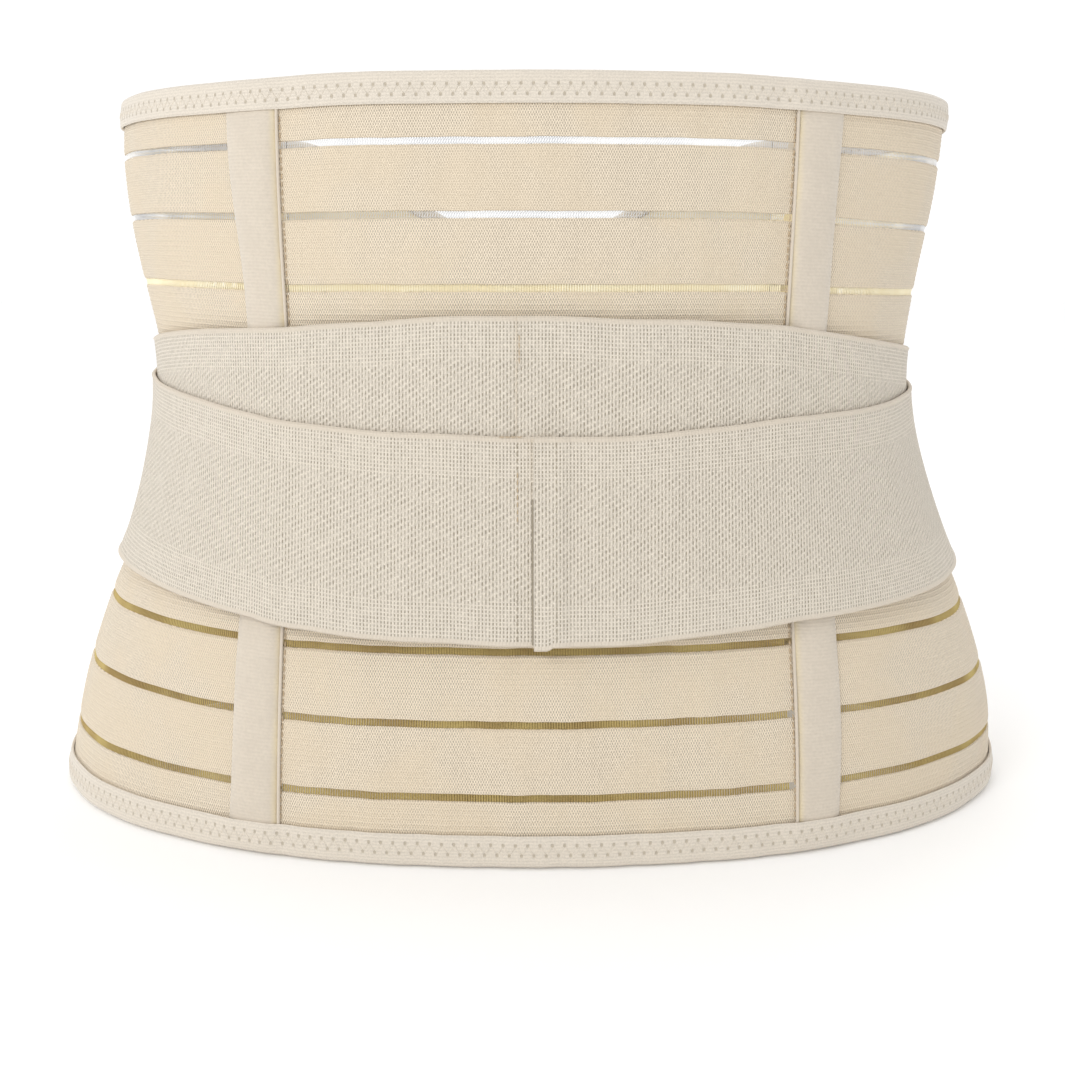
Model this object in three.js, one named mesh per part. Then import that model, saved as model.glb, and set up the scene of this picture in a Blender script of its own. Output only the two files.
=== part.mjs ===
// Lumbar support belt, closed as it is worn: a tall elastic back and sides, two front panels
// that overlap at the front centre, and two crossing strap pairs that end in pull tabs.
// Millimetres, +Z up. The lumbar side faces -Y and the front closure faces +Y.
// The origin is the middle of the bounding box, on the surface that the belt stands on.
import * as THREE from 'three';
import { mergeVertices } from 'three/addons/utils/BufferGeometryUtils.js';

// ---- driving dimensions: the form that the belt is closed around ----
const HEIGHT = 250;
const WAIST_HEIGHT = 150;
const HALF_WIDTH = { bottom: 175.5, waist: 139.5, top: 152.5 };
const BACK_DEPTH = { bottom: 112, waist: 100, top: 99 };
const BACK_EXPONENT = 2.15;
const FRONT_EXPONENT = 2.6;
const SEAM_X = 105;
const SEAM_Y = 76;
const SEAM_BLEND = 25;
const BONE_X = 91;
const BONE_LEAN = 3.5;

// ---- driving dimensions: fabric layers, as distances outward from the inner face ----
const GAP = 0.3;
const BAND_COUNT = 11;
const SLOT = 2.2;
const BAND_THICK = 1.6;
const PANEL_THICK = 2;
const TAPE = 1;
const BINDING_HEIGHT = 10.5;
const CASING = { width: 17, top: 4.1, groove: 8.4, roof: 3 };
const BONE = { width: 7.4, inner: 2.2, outer: 2.7, clearEnds: 16 };
const SEAM_TAPE_WIDTH = 12;
// Each strap's middle line is a smooth curve: its height at the back centre, the slope that it
// tends to round the side, and the length over which it turns into that slope.
const UPPER_STRAP = { inner: 4.5, outer: 5.7, backHeight: 141.1, slope: -0.12, turn: 100 };
const LOWER_STRAP = { inner: 6.4, outer: 7.6, backHeight: 101.8, slope: 0.105, turn: 72 };
const STRAP_WIDTH = 66.5;
const LABEL = { width: 23, bottom: 14, top: 62, inner: -0.9, outer: -0.4 };

// ---- driving dimensions: front closure ----
const FRONT_DIP = 48;
const FRONT_RISE = 12;
const CLOSURE_OVERLAP = 28;
const CORNER_RADIUS = 18;
const FLAP_LIFT = 4.9;
const LIFT_FROM_X = 80;
const LIFT_TO_X = 34;
const PANEL_BINDING = 8;
const LOOP_FIELD = { from: -17, to: 17, bottom: 32, top: 182, inner: 2.3, outer: 3.2 };
const HOOK_PATCH = { from: -17, to: 12, bottom: 42, top: 172, inner: -1.4, outer: -0.3 };
const TAB = { hingeX: 88, endX: 38, height: 66, mid: 121, tipTaper: 9 };
const TAB_LAYER = { inner: 3.6, outer: 5.6 };
const TAB_HOOK = { fromX: 80, toX: 44, height: 54, inner: 2.3, outer: 3.3 };

// ---- how finely the curved pieces are stepped ----
const BACK_STEPS = 6;
const SIDE_STEPS = 13;
const PANEL_STEPS = 9;
const CORNER_STEPS = 4;
const PANEL_ROWS = 9;
const STRAP_ROWS = 4;
const UPRIGHT_STEPS = 20;
const BAND_ROWS = 2;
const PATCH_STEPS = 4;
const PATCH_ROWS = 9;
const LABEL_ROWS = 3;
const OUTLINE_STEPS = 240;

// Stations run round the belt: 0 at the back centre, 1 at a bone, 2 at a front seam, 3 at the
// front centre. They are negative on the -X side. Each stretch has about this length.
const BONE_STATION = 1;
const SEAM_STATION = 2;
const FRONT_STATION = 3;
const BACK_LENGTH = 95;
const SIDE_LENGTH = 185;
const MEAN_SIDE_LENGTH = 215;

const PITCH = (HEIGHT + SLOT) / BAND_COUNT;
const SIDES = [['left', -1], ['right', 1]];

const COLOURS = {
  band: { color: 0xe4d5be, roughness: 0.9 },
  binding: { color: 0xe2d9c8, roughness: 0.85 },
  casing: { color: 0xe4d6c2, roughness: 0.95 },
  bone: { color: 0x9a9c9e, roughness: 0.35, metalness: 1 },
  strap: { color: 0xdcd3c4, roughness: 0.85 },
  panel: { color: 0xdfd0b8, roughness: 0.95 },
  hook: { color: 0xd9cdb8, roughness: 0.6 },
  label: { color: 0xf2f0ea, roughness: 0.7 },
};

const belt = new THREE.Group();

const clamp01 = (value) => Math.min(1, Math.max(0, value));
const mix = (from, to, share) => from + (to - from) * share;

function smooth(value) {
  const s = clamp01(value);
  return s * s * (3 - 2 * s);
}

// A dimension given at the bottom, the waist and the top, eased between them.
function profile(sizes, z) {
  if (z < WAIST_HEIGHT) return mix(sizes.waist, sizes.bottom, smooth(1 - z / WAIST_HEIGHT));
  return mix(sizes.waist, sizes.top, smooth((z - WAIST_HEIGHT) / (HEIGHT - WAIST_HEIGHT)));
}

// The bones lean in a little at the waist.
function boneX(z) {
  const away = z < WAIST_HEIGHT
    ? 1 - z / WAIST_HEIGHT
    : (z - WAIST_HEIGHT) / (HEIGHT - WAIST_HEIGHT);
  return BONE_X - BONE_LEAN * (1 - smooth(away));
}

// The horizontal outline at one height: half of it, from the back centre to the front centre,
// with its lengths to the bone and to the front seam. The seam is one straight upright line.
const sections = new Map();

function sectionAt(z) {
  const key = z.toFixed(2);
  if (sections.has(key)) return sections.get(key);
  const halfWidth = profile(HALF_WIDTH, z);
  const back = profile(BACK_DEPTH, z);
  const seamShare = (1 - (SEAM_X / halfWidth) ** FRONT_EXPONENT) ** (1 / FRONT_EXPONENT);
  const section = { halfWidth, back, front: SEAM_Y / seamShare, points: [], lengths: [] };
  const boneLine = boneX(z);
  let length = 0;
  for (let i = 0; i < OUTLINE_STEPS; i += 1) {
    const angle = (Math.PI * i) / OUTLINE_STEPS;
    const atBack = angle < Math.PI / 2;
    const power = 2 / (atBack ? BACK_EXPONENT : FRONT_EXPONENT);
    const reach = Math.abs(Math.cos(angle)) ** power;
    const x = halfWidth * Math.sin(angle) ** power;
    const y = atBack ? -back * reach : section.front * reach;
    const before = section.points.at(-1);
    const point = new THREE.Vector2(x, y);
    const step = before ? before.distanceTo(point) : 0;
    if (before && atBack && before.x < boneLine && x >= boneLine) {
      section.bone = length + step * ((boneLine - before.x) / (x - before.x));
    }
    if (before && !atBack && before.x > SEAM_X && x <= SEAM_X) {
      section.seam = length + step * ((before.x - SEAM_X) / (before.x - x));
    }
    length += step;
    section.points.push(point);
    section.lengths.push(length);
  }
  sections.set(key, section);
  return section;
}

function pointAlong(section, length) {
  let i = 1;
  while (i < section.lengths.length - 1 && section.lengths[i] < length) i += 1;
  const span = section.lengths[i] - section.lengths[i - 1];
  const share = (length - section.lengths[i - 1]) / span;
  return section.points[i - 1].clone().lerp(section.points[i], share);
}

function frontY(section, x) {
  const share = (Math.abs(x) / section.halfWidth) ** FRONT_EXPONENT;
  return section.front * (1 - share) ** (1 / FRONT_EXPONENT);
}

function outwardAt(section, point) {
  const depth = point.y < 0 ? section.back : section.front;
  const exponent = (point.y < 0 ? BACK_EXPONENT : FRONT_EXPONENT) - 1;
  const nx = (Math.abs(point.x) / section.halfWidth) ** exponent / section.halfWidth;
  const ny = (Math.abs(point.y) / depth) ** exponent / depth;
  return new THREE.Vector2(Math.sign(point.x) * nx, Math.sign(point.y) * ny).normalize();
}

// A point of the belt: a station, a height, and a distance outward from the inner face.
// Near a front seam the layers stack straight forward, so that all of them end in one plane.
function beltPoint(station, z, offset) {
  const side = Math.sign(station) || 1;
  const along = Math.abs(station);
  const section = sectionAt(z);
  let point;
  if (along > SEAM_STATION) {
    const x = SEAM_X * (FRONT_STATION - along);
    point = new THREE.Vector2(x, frontY(section, x));
  } else if (along > BONE_STATION) {
    point = pointAlong(section, mix(section.bone, section.seam, along - BONE_STATION));
  } else {
    point = pointAlong(section, section.bone * along);
  }
  const outward = outwardAt(section, point);
  const unit = along > SEAM_STATION ? SEAM_X : SIDE_LENGTH;
  const forward = smooth(1 - (Math.abs(along - SEAM_STATION) * unit) / SEAM_BLEND);
  const stack = outward.clone().lerp(new THREE.Vector2(0, 1), forward).normalize();
  point.addScaledVector(stack, offset / stack.dot(outward));
  return new THREE.Vector3(side * point.x, point.y, z);
}

// A piece is made flat, then wrapped: each of its corners is moved to its place on the belt.
function wrap(flat, place) {
  flat.deleteAttribute('normal');
  flat.deleteAttribute('uv');
  const geometry = mergeVertices(flat, 1e-5);
  const positions = geometry.attributes.position;
  const corner = new THREE.Vector3();
  for (let i = 0; i < positions.count; i += 1) {
    corner.fromBufferAttribute(positions, i);
    const placed = place(corner);
    positions.setXYZ(i, placed.x, placed.y, placed.z);
  }
  if (signedVolume(geometry) < 0) {
    const index = geometry.index;
    for (let i = 0; i < index.count; i += 3) {
      const second = index.getX(i + 1);
      index.setX(i + 1, index.getX(i + 2));
      index.setX(i + 2, second);
    }
  }
  geometry.computeVertexNormals();
  return geometry;
}

function signedVolume(geometry) {
  const positions = geometry.attributes.position;
  const index = geometry.index;
  const [a, b, c] = [new THREE.Vector3(), new THREE.Vector3(), new THREE.Vector3()];
  let volume = 0;
  for (let i = 0; i < index.count; i += 3) {
    a.fromBufferAttribute(positions, index.getX(i));
    b.fromBufferAttribute(positions, index.getX(i + 1));
    c.fromBufferAttribute(positions, index.getX(i + 2));
    volume += a.dot(b.cross(c)) / 6;
  }
  return volume;
}

// A flat strip whose corners run 0 to 1 along, 0 to 1 up, and 0 inside to 1 outside.
function wrapStrip(columns, rows, place) {
  const flat = new THREE.BoxGeometry(1, 1, 1, columns, rows, 1);
  flat.translate(0.5, 0.5, 0.5);
  return wrap(flat, (corner) => place(corner.x, corner.y, corner.z));
}

// A closed section, extruded 0 to 1 along. Its two coordinates mean what the piece says.
function wrapSection(outline, steps, place) {
  const shape = new THREE.Shape(outline.map(([across, out]) => new THREE.Vector2(across, out)));
  const flat = new THREE.ExtrudeGeometry(shape, { depth: 1, steps, bevelEnabled: false });
  return wrap(flat, (corner) => place(corner.x, corner.y, corner.z));
}

function add(name, geometry, look) {
  const material = new THREE.MeshStandardMaterial({ metalness: 0, ...COLOURS[look] });
  const mesh = new THREE.Mesh(geometry, material);
  mesh.name = name;
  belt.add(mesh);
}

// A U-section that grips an edge: how far it reaches in from the edge, and its distances out.
function gripSection(reach, thick) {
  const inner = -GAP - TAPE;
  const outer = thick + GAP + TAPE;
  return [
    [0, inner],
    [reach, inner],
    [reach, -GAP],
    [TAPE, -GAP],
    [TAPE, thick + GAP],
    [reach, thick + GAP],
    [reach, outer],
    [0, outer],
  ];
}

// ---- elastic bands, with an open slot between each band and the next ----
function addBands() {
  const boneGap = GAP / 2 / BACK_LENGTH;
  const seamGap = GAP / SIDE_LENGTH;
  for (let i = 0; i < BAND_COUNT; i += 1) {
    const number = String(i + 1).padStart(2, '0');
    const bottom = i === 0 ? TAPE + GAP : i * PITCH;
    const top = i === BAND_COUNT - 1 ? HEIGHT - TAPE - GAP : (i + 1) * PITCH - SLOT;
    const strip = (from, to, columns) => wrapStrip(columns, BAND_ROWS, (along, up, out) => (
      beltPoint(mix(from, to, along), mix(bottom, top, up), out * BAND_THICK)
    ));
    const backEnd = BONE_STATION - boneGap;
    add(`back_band_${number}`, strip(-backEnd, backEnd, 2 * BACK_STEPS), 'band');
    for (const [side, sign] of SIDES) {
      const ends = [sign * (BONE_STATION + boneGap), sign * (SEAM_STATION - seamGap)];
      const [from, to] = ends.sort((a, b) => a - b);
      add(`side_band_${side}_${number}`, strip(from, to, SIDE_STEPS), 'band');
    }
  }
}

// Evenly numbered steps, turned into stations that every layer of the back and sides shares.
function stepStation(step) {
  const count = Math.abs(step);
  const station = count <= BACK_STEPS
    ? count / BACK_STEPS
    : BONE_STATION + (count - BACK_STEPS) / SIDE_STEPS;
  return Math.sign(step) * Math.min(station, SEAM_STATION - GAP / SIDE_LENGTH);
}

function addBindings() {
  const half = BACK_STEPS + SIDE_STEPS;
  const section = gripSection(BINDING_HEIGHT, BAND_THICK);
  const binding = (edgeZ, inward) => wrapSection(section, 2 * half, (reach, out, along) => (
    beltPoint(stepStation(mix(-half, half, along)), edgeZ + inward * reach, out)
  ));
  add('top_binding', binding(HEIGHT, -1), 'binding');
  add('bottom_binding', binding(0, 1), 'binding');
}

// ---- bone casings: a tape with a groove behind it that holds a flat spring-steel bone ----
// The station at a distance outward from a bone, along the cloth.
function besideBone(across) {
  const unit = across > 0 ? MEAN_SIDE_LENGTH : BACK_LENGTH;
  return BONE_STATION + across / unit;
}

function addBones() {
  const underside = BAND_THICK + GAP;
  const halfWidth = CASING.width / 2;
  const halfGroove = CASING.groove / 2;
  const casing = [
    [underside, -halfWidth],
    [CASING.top - TAPE, -halfWidth],
    [CASING.top, -halfGroove],
    [CASING.top, halfGroove],
    [CASING.top - TAPE, halfWidth],
    [underside, halfWidth],
    [underside, halfGroove],
    [CASING.roof, halfGroove],
    [CASING.roof, -halfGroove],
    [underside, -halfGroove],
  ];
  const halfBone = BONE.width / 2;
  const steel = [
    [BONE.inner, -halfBone],
    [BONE.outer, -halfBone],
    [BONE.outer, halfBone],
    [BONE.inner, halfBone],
  ];
  const ends = BINDING_HEIGHT + GAP;
  for (const [side, sign] of SIDES) {
    const upright = (outline, clear) => wrapSection(outline, UPRIGHT_STEPS, (out, across, up) => (
      beltPoint(sign * besideBone(across), mix(clear, HEIGHT - clear, up), out)
    ));
    add(`bone_casing_${side}`, upright(casing, ends), 'casing');
    add(`steel_bone_${side}`, upright(steel, BONE.clearEnds), 'bone');
    const tape = wrapStrip(2, UPRIGHT_STEPS, (across, up, out) => {
      const inset = GAP + across * SEAM_TAPE_WIDTH;
      const station = sign * (SEAM_STATION - inset / SIDE_LENGTH);
      return beltPoint(station, mix(ends, HEIGHT - ends, up), BAND_THICK + GAP + out * TAPE);
    });
    add(`front_seam_tape_${side}`, tape, 'casing');
  }
}

// ---- straps ----
function strapMiddle(strap, station) {
  const along = Math.abs(station);
  const length = along < BONE_STATION
    ? along * BACK_LENGTH
    : BACK_LENGTH + (along - BONE_STATION) * SIDE_LENGTH;
  return strap.backHeight + strap.slope * (Math.hypot(length, strap.turn) - strap.turn);
}

function addStraps() {
  const steps = BACK_STEPS + SIDE_STEPS;
  for (const [level, strap] of [['upper', UPPER_STRAP], ['lower', LOWER_STRAP]]) {
    for (const [side, sign] of SIDES) {
      const geometry = wrapStrip(steps, STRAP_ROWS, (along, up, out) => {
        const centreGap = GAP / 2 / BACK_LENGTH;
        const station = sign * Math.max(stepStation(along * steps), centreGap);
        const z = strapMiddle(strap, station) + (up - 0.5) * STRAP_WIDTH;
        return beltPoint(station, z, mix(strap.inner, strap.outer, out));
      });
      add(`strap_${level}_${side}`, geometry, 'strap');
    }
  }
}

// ---- front panels: x is measured from the front centre towards the panel's own seam ----
const frontStation = (sign, x) => sign * (FRONT_STATION - x / SEAM_X);

const panelTop = (x) => HEIGHT - FRONT_DIP * smooth((SEAM_X - x) / SEAM_X);
const panelBottom = (x) => FRONT_RISE * smooth((SEAM_X - x) / SEAM_X);

// The outer panel rises over the free end of the under panel.
const flapLift = (x) => FLAP_LIFT * smooth((LIFT_FROM_X - x) / (LIFT_FROM_X - LIFT_TO_X));

function panelSolid(sign, lift) {
  const inset = TAPE + GAP;
  const freeEnd = -CLOSURE_OVERLAP + inset;
  const radius = CORNER_RADIUS - inset;
  const straight = SEAM_X - GAP - freeEnd - radius;
  const columns = PANEL_STEPS + CORNER_STEPS;
  return wrapStrip(columns, PANEL_ROWS, (along, up, out) => {
    const step = along * columns;
    const turn = Math.max(0, step - PANEL_STEPS) / CORNER_STEPS * (Math.PI / 2);
    const run = Math.min(1, step / PANEL_STEPS) * straight + radius * Math.sin(turn);
    const x = SEAM_X - GAP - run;
    const corner = radius * (1 - Math.cos(turn));
    const z = mix(panelBottom(x) + inset + corner, panelTop(x) - inset - corner, up);
    return beltPoint(frontStation(sign, x), z, lift(x) + out * PANEL_THICK);
  });
}

// The panel's outline, from its seam along the top, round the free end and back along the
// bottom. Each stop gives the point that lies the given reach in from the edge.
function panelOutline() {
  const cornerX = -CLOSURE_OVERLAP + CORNER_RADIUS;
  const upperZ = panelTop(cornerX) - CORNER_RADIUS;
  const lowerZ = panelBottom(cornerX) + CORNER_RADIUS;
  const stops = [];
  for (let i = 0; i <= PANEL_STEPS; i += 1) {
    const x = mix(SEAM_X - GAP, cornerX, i / PANEL_STEPS);
    stops.push((reach) => [x, panelTop(x) - reach]);
  }
  const turnAt = (centreZ, angle) => (reach) => [
    cornerX - (CORNER_RADIUS - reach) * Math.cos(angle),
    centreZ + (CORNER_RADIUS - reach) * Math.sin(angle),
  ];
  for (let i = 1; i <= CORNER_STEPS; i += 1) {
    stops.push(turnAt(upperZ, (1 - i / CORNER_STEPS) * (Math.PI / 2)));
  }
  for (let i = 1; i < PANEL_ROWS; i += 1) {
    const z = mix(upperZ, lowerZ, i / PANEL_ROWS);
    stops.push((reach) => [-CLOSURE_OVERLAP + reach, z]);
  }
  for (let i = 0; i < CORNER_STEPS; i += 1) {
    stops.push(turnAt(lowerZ, (-i / CORNER_STEPS) * (Math.PI / 2)));
  }
  for (let i = PANEL_STEPS; i >= 0; i -= 1) {
    const x = mix(SEAM_X - GAP, cornerX, i / PANEL_STEPS);
    stops.push((reach) => [x, panelBottom(x) + reach]);
  }
  return stops;
}

function panelBinding(sign, lift) {
  const stops = panelOutline();
  const last = stops.length - 1;
  return wrapSection(gripSection(PANEL_BINDING, PANEL_THICK), last, (reach, out, along) => {
    const [x, z] = stops[Math.round(along * last)](reach);
    return beltPoint(frontStation(sign, x), z, lift(x) + out);
  });
}

// A patch on a panel's face, with its height easing from one end's size to the other's.
function facePatch(sign, lift, layer, from, to, heights) {
  return wrapStrip(PATCH_STEPS, PATCH_ROWS, (along, up, out) => {
    const x = mix(from, to, along);
    const z = mix(mix(...heights.bottom, along), mix(...heights.top, along), up);
    return beltPoint(frontStation(sign, x), z, lift(x) + mix(layer.inner, layer.outer, out));
  });
}

function level(bottom, top) {
  return { bottom: [bottom, bottom], top: [top, top] };
}

function addFrontPanels() {
  const flat = () => 0;
  add('front_panel_outer', panelSolid(1, flapLift), 'panel');
  add('front_binding_outer', panelBinding(1, flapLift), 'binding');
  add('front_panel_under', panelSolid(-1, flat), 'panel');
  add('front_binding_under', panelBinding(-1, flat), 'binding');
  const hookHeights = level(HOOK_PATCH.bottom, HOOK_PATCH.top);
  const hook = facePatch(1, flapLift, HOOK_PATCH, HOOK_PATCH.to, HOOK_PATCH.from, hookHeights);
  add('closure_hook_patch', hook, 'hook');
  const loopHeights = level(LOOP_FIELD.bottom, LOOP_FIELD.top);
  const loop = facePatch(-1, flat, LOOP_FIELD, LOOP_FIELD.to, LOOP_FIELD.from, loopHeights);
  add('closure_loop_field', loop, 'panel');
}

// ---- pull tabs: both straps of a side are sewn together at the seam and end in one tab ----
function addTabs() {
  const half = STRAP_WIDTH / 2;
  const straps = { inner: UPPER_STRAP.inner, outer: LOWER_STRAP.outer };
  const joinTop = strapMiddle(UPPER_STRAP, SEAM_STATION) + half;
  const joinBottom = strapMiddle(LOWER_STRAP, SEAM_STATION) - half;
  const tabTop = TAB.mid + TAB.height / 2;
  const tabBottom = TAB.mid - TAB.height / 2;
  const hookTop = TAB.mid + TAB_HOOK.height / 2;
  const hookBottom = TAB.mid - TAB_HOOK.height / 2;
  for (const [side, sign] of SIDES) {
    const lift = sign > 0 ? flapLift : () => 0;
    const joinHeights = { bottom: [joinBottom, tabBottom], top: [joinTop, tabTop] };
    const from = SEAM_X - GAP;
    const join = facePatch(sign, lift, straps, from, TAB.hingeX + GAP, joinHeights);
    add(`strap_join_${side}`, join, 'strap');
    const tabHeights = {
      bottom: [tabBottom, tabBottom + TAB.tipTaper],
      top: [tabTop, tabTop - TAB.tipTaper],
    };
    const tab = facePatch(sign, lift, TAB_LAYER, TAB.hingeX, TAB.endX, tabHeights);
    add(`pull_tab_${side}`, tab, 'strap');
    const hookHeights = level(hookBottom, hookTop);
    const hook = facePatch(sign, lift, TAB_HOOK, TAB_HOOK.fromX, TAB_HOOK.toX, hookHeights);
    add(`tab_hook_${side}`, hook, 'hook');
  }
}

function addLabel() {
  const half = LABEL.width / 2 / BACK_LENGTH;
  const label = wrapStrip(2, LABEL_ROWS, (along, up, out) => {
    const z = mix(LABEL.bottom, LABEL.top, up);
    return beltPoint(mix(-half, half, along), z, mix(LABEL.inner, LABEL.outer, out));
  });
  add('care_label', label, 'label');
}

addBands();
addBindings();
addBones();
addStraps();
addFrontPanels();
addTabs();
addLabel();

const box = new THREE.Box3().setFromObject(belt);
const middle = box.getCenter(new THREE.Vector3());
belt.position.set(-middle.x, -middle.y, -box.min.z);

export default belt;
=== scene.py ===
"""The looks of the lumbar support belt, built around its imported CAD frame.

Lengths are in millimetres until a mesh is made, and metres in Blender. Places round the belt are
stations, as in the part's source: 0 at the back centre, 1 at a bone, 2 at a front seam and 3 at
the front centre, negative on the -X side. A piece's "weave" attribute holds its own cloth
coordinates in millimetres: along the cloth, across it, and a number that differs by piece.
"""

import math

import bpy
import numpy as np
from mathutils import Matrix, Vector


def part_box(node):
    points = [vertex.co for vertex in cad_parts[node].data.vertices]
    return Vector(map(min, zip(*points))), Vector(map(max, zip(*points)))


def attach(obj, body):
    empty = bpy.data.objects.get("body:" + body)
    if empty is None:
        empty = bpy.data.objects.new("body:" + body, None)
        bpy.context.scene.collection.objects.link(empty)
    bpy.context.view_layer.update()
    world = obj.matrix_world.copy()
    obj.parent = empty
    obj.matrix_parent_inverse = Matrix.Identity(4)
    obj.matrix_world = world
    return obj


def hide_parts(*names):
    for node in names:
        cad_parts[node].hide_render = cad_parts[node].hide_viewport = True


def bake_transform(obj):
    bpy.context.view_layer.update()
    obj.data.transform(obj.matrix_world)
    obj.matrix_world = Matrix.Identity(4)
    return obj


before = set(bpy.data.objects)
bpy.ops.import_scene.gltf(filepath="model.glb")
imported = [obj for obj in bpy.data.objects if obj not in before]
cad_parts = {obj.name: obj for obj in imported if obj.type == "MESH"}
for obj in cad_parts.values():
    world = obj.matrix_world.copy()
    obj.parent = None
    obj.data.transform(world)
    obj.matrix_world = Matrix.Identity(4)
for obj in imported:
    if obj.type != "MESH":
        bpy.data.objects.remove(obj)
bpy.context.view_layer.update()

# ---- the form, with the part's own dimensions ----
HEIGHT = 250.0
WAIST_HEIGHT = 150.0
HALF_WIDTH = (175.5, 139.5, 152.5)
BACK_DEPTH = (112.0, 100.0, 99.0)
BACK_EXPONENT = 2.15
FRONT_EXPONENT = 2.6
SEAM_X = 105.0
SEAM_Y = 76.0
SEAM_BLEND = 25.0
BONE_X = 91.0
BONE_LEAN = 3.5
BONE_STATION = 1.0
SEAM_STATION = 2.0
FRONT_STATION = 3.0
BACK_LENGTH = 95.0
SIDE_LENGTH = 185.0

# ---- cloth layers, as distances outward from the inner face ----
GAP = 0.3
BAND_COUNT = 11
SLOT = 2.2
PITCH = (HEIGHT + SLOT) / BAND_COUNT
BAND_THICK = 1.6
PANEL_THICK = 2.0
TAPE = 1.0
BINDING_HEIGHT = 10.5
STRAP_WIDTH = 65.4
STRAPS = {
    "upper": {"inner": 4.5, "outer": 5.7, "height": 141.1, "slope": -0.12, "turn": 100.0,
              "edge": -5.4, "hem": 0.45},
    "lower": {"inner": 6.4, "outer": 7.6, "height": 103.3, "slope": 0.105, "turn": 72.0,
              "edge": 0.0, "hem": 1.25},
}

# ---- front closure ----
FRONT_DIP = 48.0
FRONT_RISE = 12.0
CLOSURE_OVERLAP = 28.0
CORNER_RADIUS = 18.0
FLAP_LIFT = 4.9
LIFT_FROM_X = 80.0
LIFT_TO_X = 34.0
PANEL_BINDING = 8.0
TAB = {"hinge": 88.0, "end": 38.0, "height": 66.0, "mid": 121.0, "taper": 9.0}

# ---- weave and sewing ----
THREAD_PITCH = 0.83
RIB_PITCH = 1.67
STRAP_COLUMN_PITCH = 1.08
ZIGZAG_PERIOD = 3.85
ZIGZAG_ROWS = (4.5, 7.6)

SIDES = {"left": -1, "right": 1}
MM = 0.001

# Added to the third "weave" number on the faces that look into the belt; the band and panel cloths
# paint light and shade there by height.
INSIDE = 1000.0


def smooth(value):
    s = np.clip(value, 0.0, 1.0)
    return s * s * (3.0 - 2.0 * s)


def mix(a, b, share):
    return a + (b - a) * share


def profile(sizes, z):
    """A dimension given at the bottom, the waist and the top, eased between them."""
    bottom, waist, top = sizes
    below = mix(waist, bottom, smooth(1.0 - z / WAIST_HEIGHT))
    above = mix(waist, top, smooth((z - WAIST_HEIGHT) / (HEIGHT - WAIST_HEIGHT)))
    return np.where(z < WAIST_HEIGHT, below, above)


def bone_x(z):
    away = np.where(
        z < WAIST_HEIGHT, 1.0 - z / WAIST_HEIGHT, (z - WAIST_HEIGHT) / (HEIGHT - WAIST_HEIGHT)
    )
    return BONE_X - BONE_LEAN * (1.0 - smooth(away))


def front_depth(half_width):
    share = (SEAM_X / half_width) ** FRONT_EXPONENT
    return SEAM_Y / (1.0 - share) ** (1.0 / FRONT_EXPONENT)


class Form:
    """The belt's inner face, from the back centre to a front seam, as a grid of x and y over
    station and height, so that points can be looked up for whole arrays at once."""

    STATION_STEPS = 400
    HEIGHT_STEPS = 126
    OUTLINE_STEPS = 720

    def __init__(self):
        self.heights = np.linspace(0.0, HEIGHT, self.HEIGHT_STEPS)
        self.stations = np.linspace(0.0, SEAM_STATION, self.STATION_STEPS + 1)
        rows = [self.outline(z) for z in self.heights]
        self.grid = np.array([row[0] for row in rows])
        self.bone_lengths = np.array([row[1] for row in rows])
        self.side_lengths = np.array([row[2] for row in rows])

    def outline(self, z):
        half_width = float(profile(HALF_WIDTH, z))
        back = float(profile(BACK_DEPTH, z))
        front = front_depth(half_width)
        angle = np.linspace(0.0, math.pi, self.OUTLINE_STEPS, endpoint=False)
        at_back = angle < math.pi / 2
        power = np.where(at_back, 2.0 / BACK_EXPONENT, 2.0 / FRONT_EXPONENT)
        reach = np.abs(np.cos(angle)) ** power
        x = half_width * np.sin(angle) ** power
        y = np.where(at_back, -back * reach, front * reach)
        length = np.concatenate([[0.0], np.cumsum(np.hypot(np.diff(x), np.diff(y)))])
        bone = np.interp(float(bone_x(z)), x[at_back], length[at_back])
        ahead = ~at_back
        seam = np.interp(-SEAM_X, -x[ahead], length[ahead])
        wanted = np.where(
            self.stations <= BONE_STATION,
            bone * self.stations,
            mix(bone, seam, self.stations - BONE_STATION),
        )
        points = np.stack([np.interp(wanted, length, x), np.interp(wanted, length, y)], -1)
        return points, bone, seam - bone

    def look_up(self, along, z):
        u = np.clip(along / SEAM_STATION, 0.0, 1.0) * self.STATION_STEPS
        v = np.clip(z / HEIGHT, 0.0, 1.0) * (self.HEIGHT_STEPS - 1)
        i = np.minimum(u.astype(int), self.STATION_STEPS - 1)
        j = np.minimum(v.astype(int), self.HEIGHT_STEPS - 2)
        fu, fv = (u - i)[..., None], (v - j)[..., None]
        low = mix(self.grid[j, i], self.grid[j, i + 1], fu)
        high = mix(self.grid[j + 1, i], self.grid[j + 1, i + 1], fu)
        return mix(low, high, fv)

    def length_at(self, station, z):
        """Millimetres from the back centre to a station, signed as the station is."""
        along = np.abs(station)
        bone = np.interp(z, self.heights, self.bone_lengths)
        side = np.interp(z, self.heights, self.side_lengths)
        back = bone * np.minimum(along, BONE_STATION)
        sides = side * np.clip(along - BONE_STATION, 0.0, 1.0)
        front = SEAM_X * np.maximum(along - SEAM_STATION, 0.0)
        return np.sign(station) * (back + sides + front)


form = Form()


def ripple(station, z):
    """How far the cloth stands off the ideal form, the same for all of its layers."""
    s = station * 5.3
    wide = 0.35 * np.sin(s * 1.7 + 0.9) * np.sin(z * 0.031 + 0.4)
    narrow = 0.16 * np.sin(s * 4.9 + z * 0.05 + 2.1) + 0.10 * np.sin(s * 9.7 - z * 0.083)
    return wide + narrow


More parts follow.
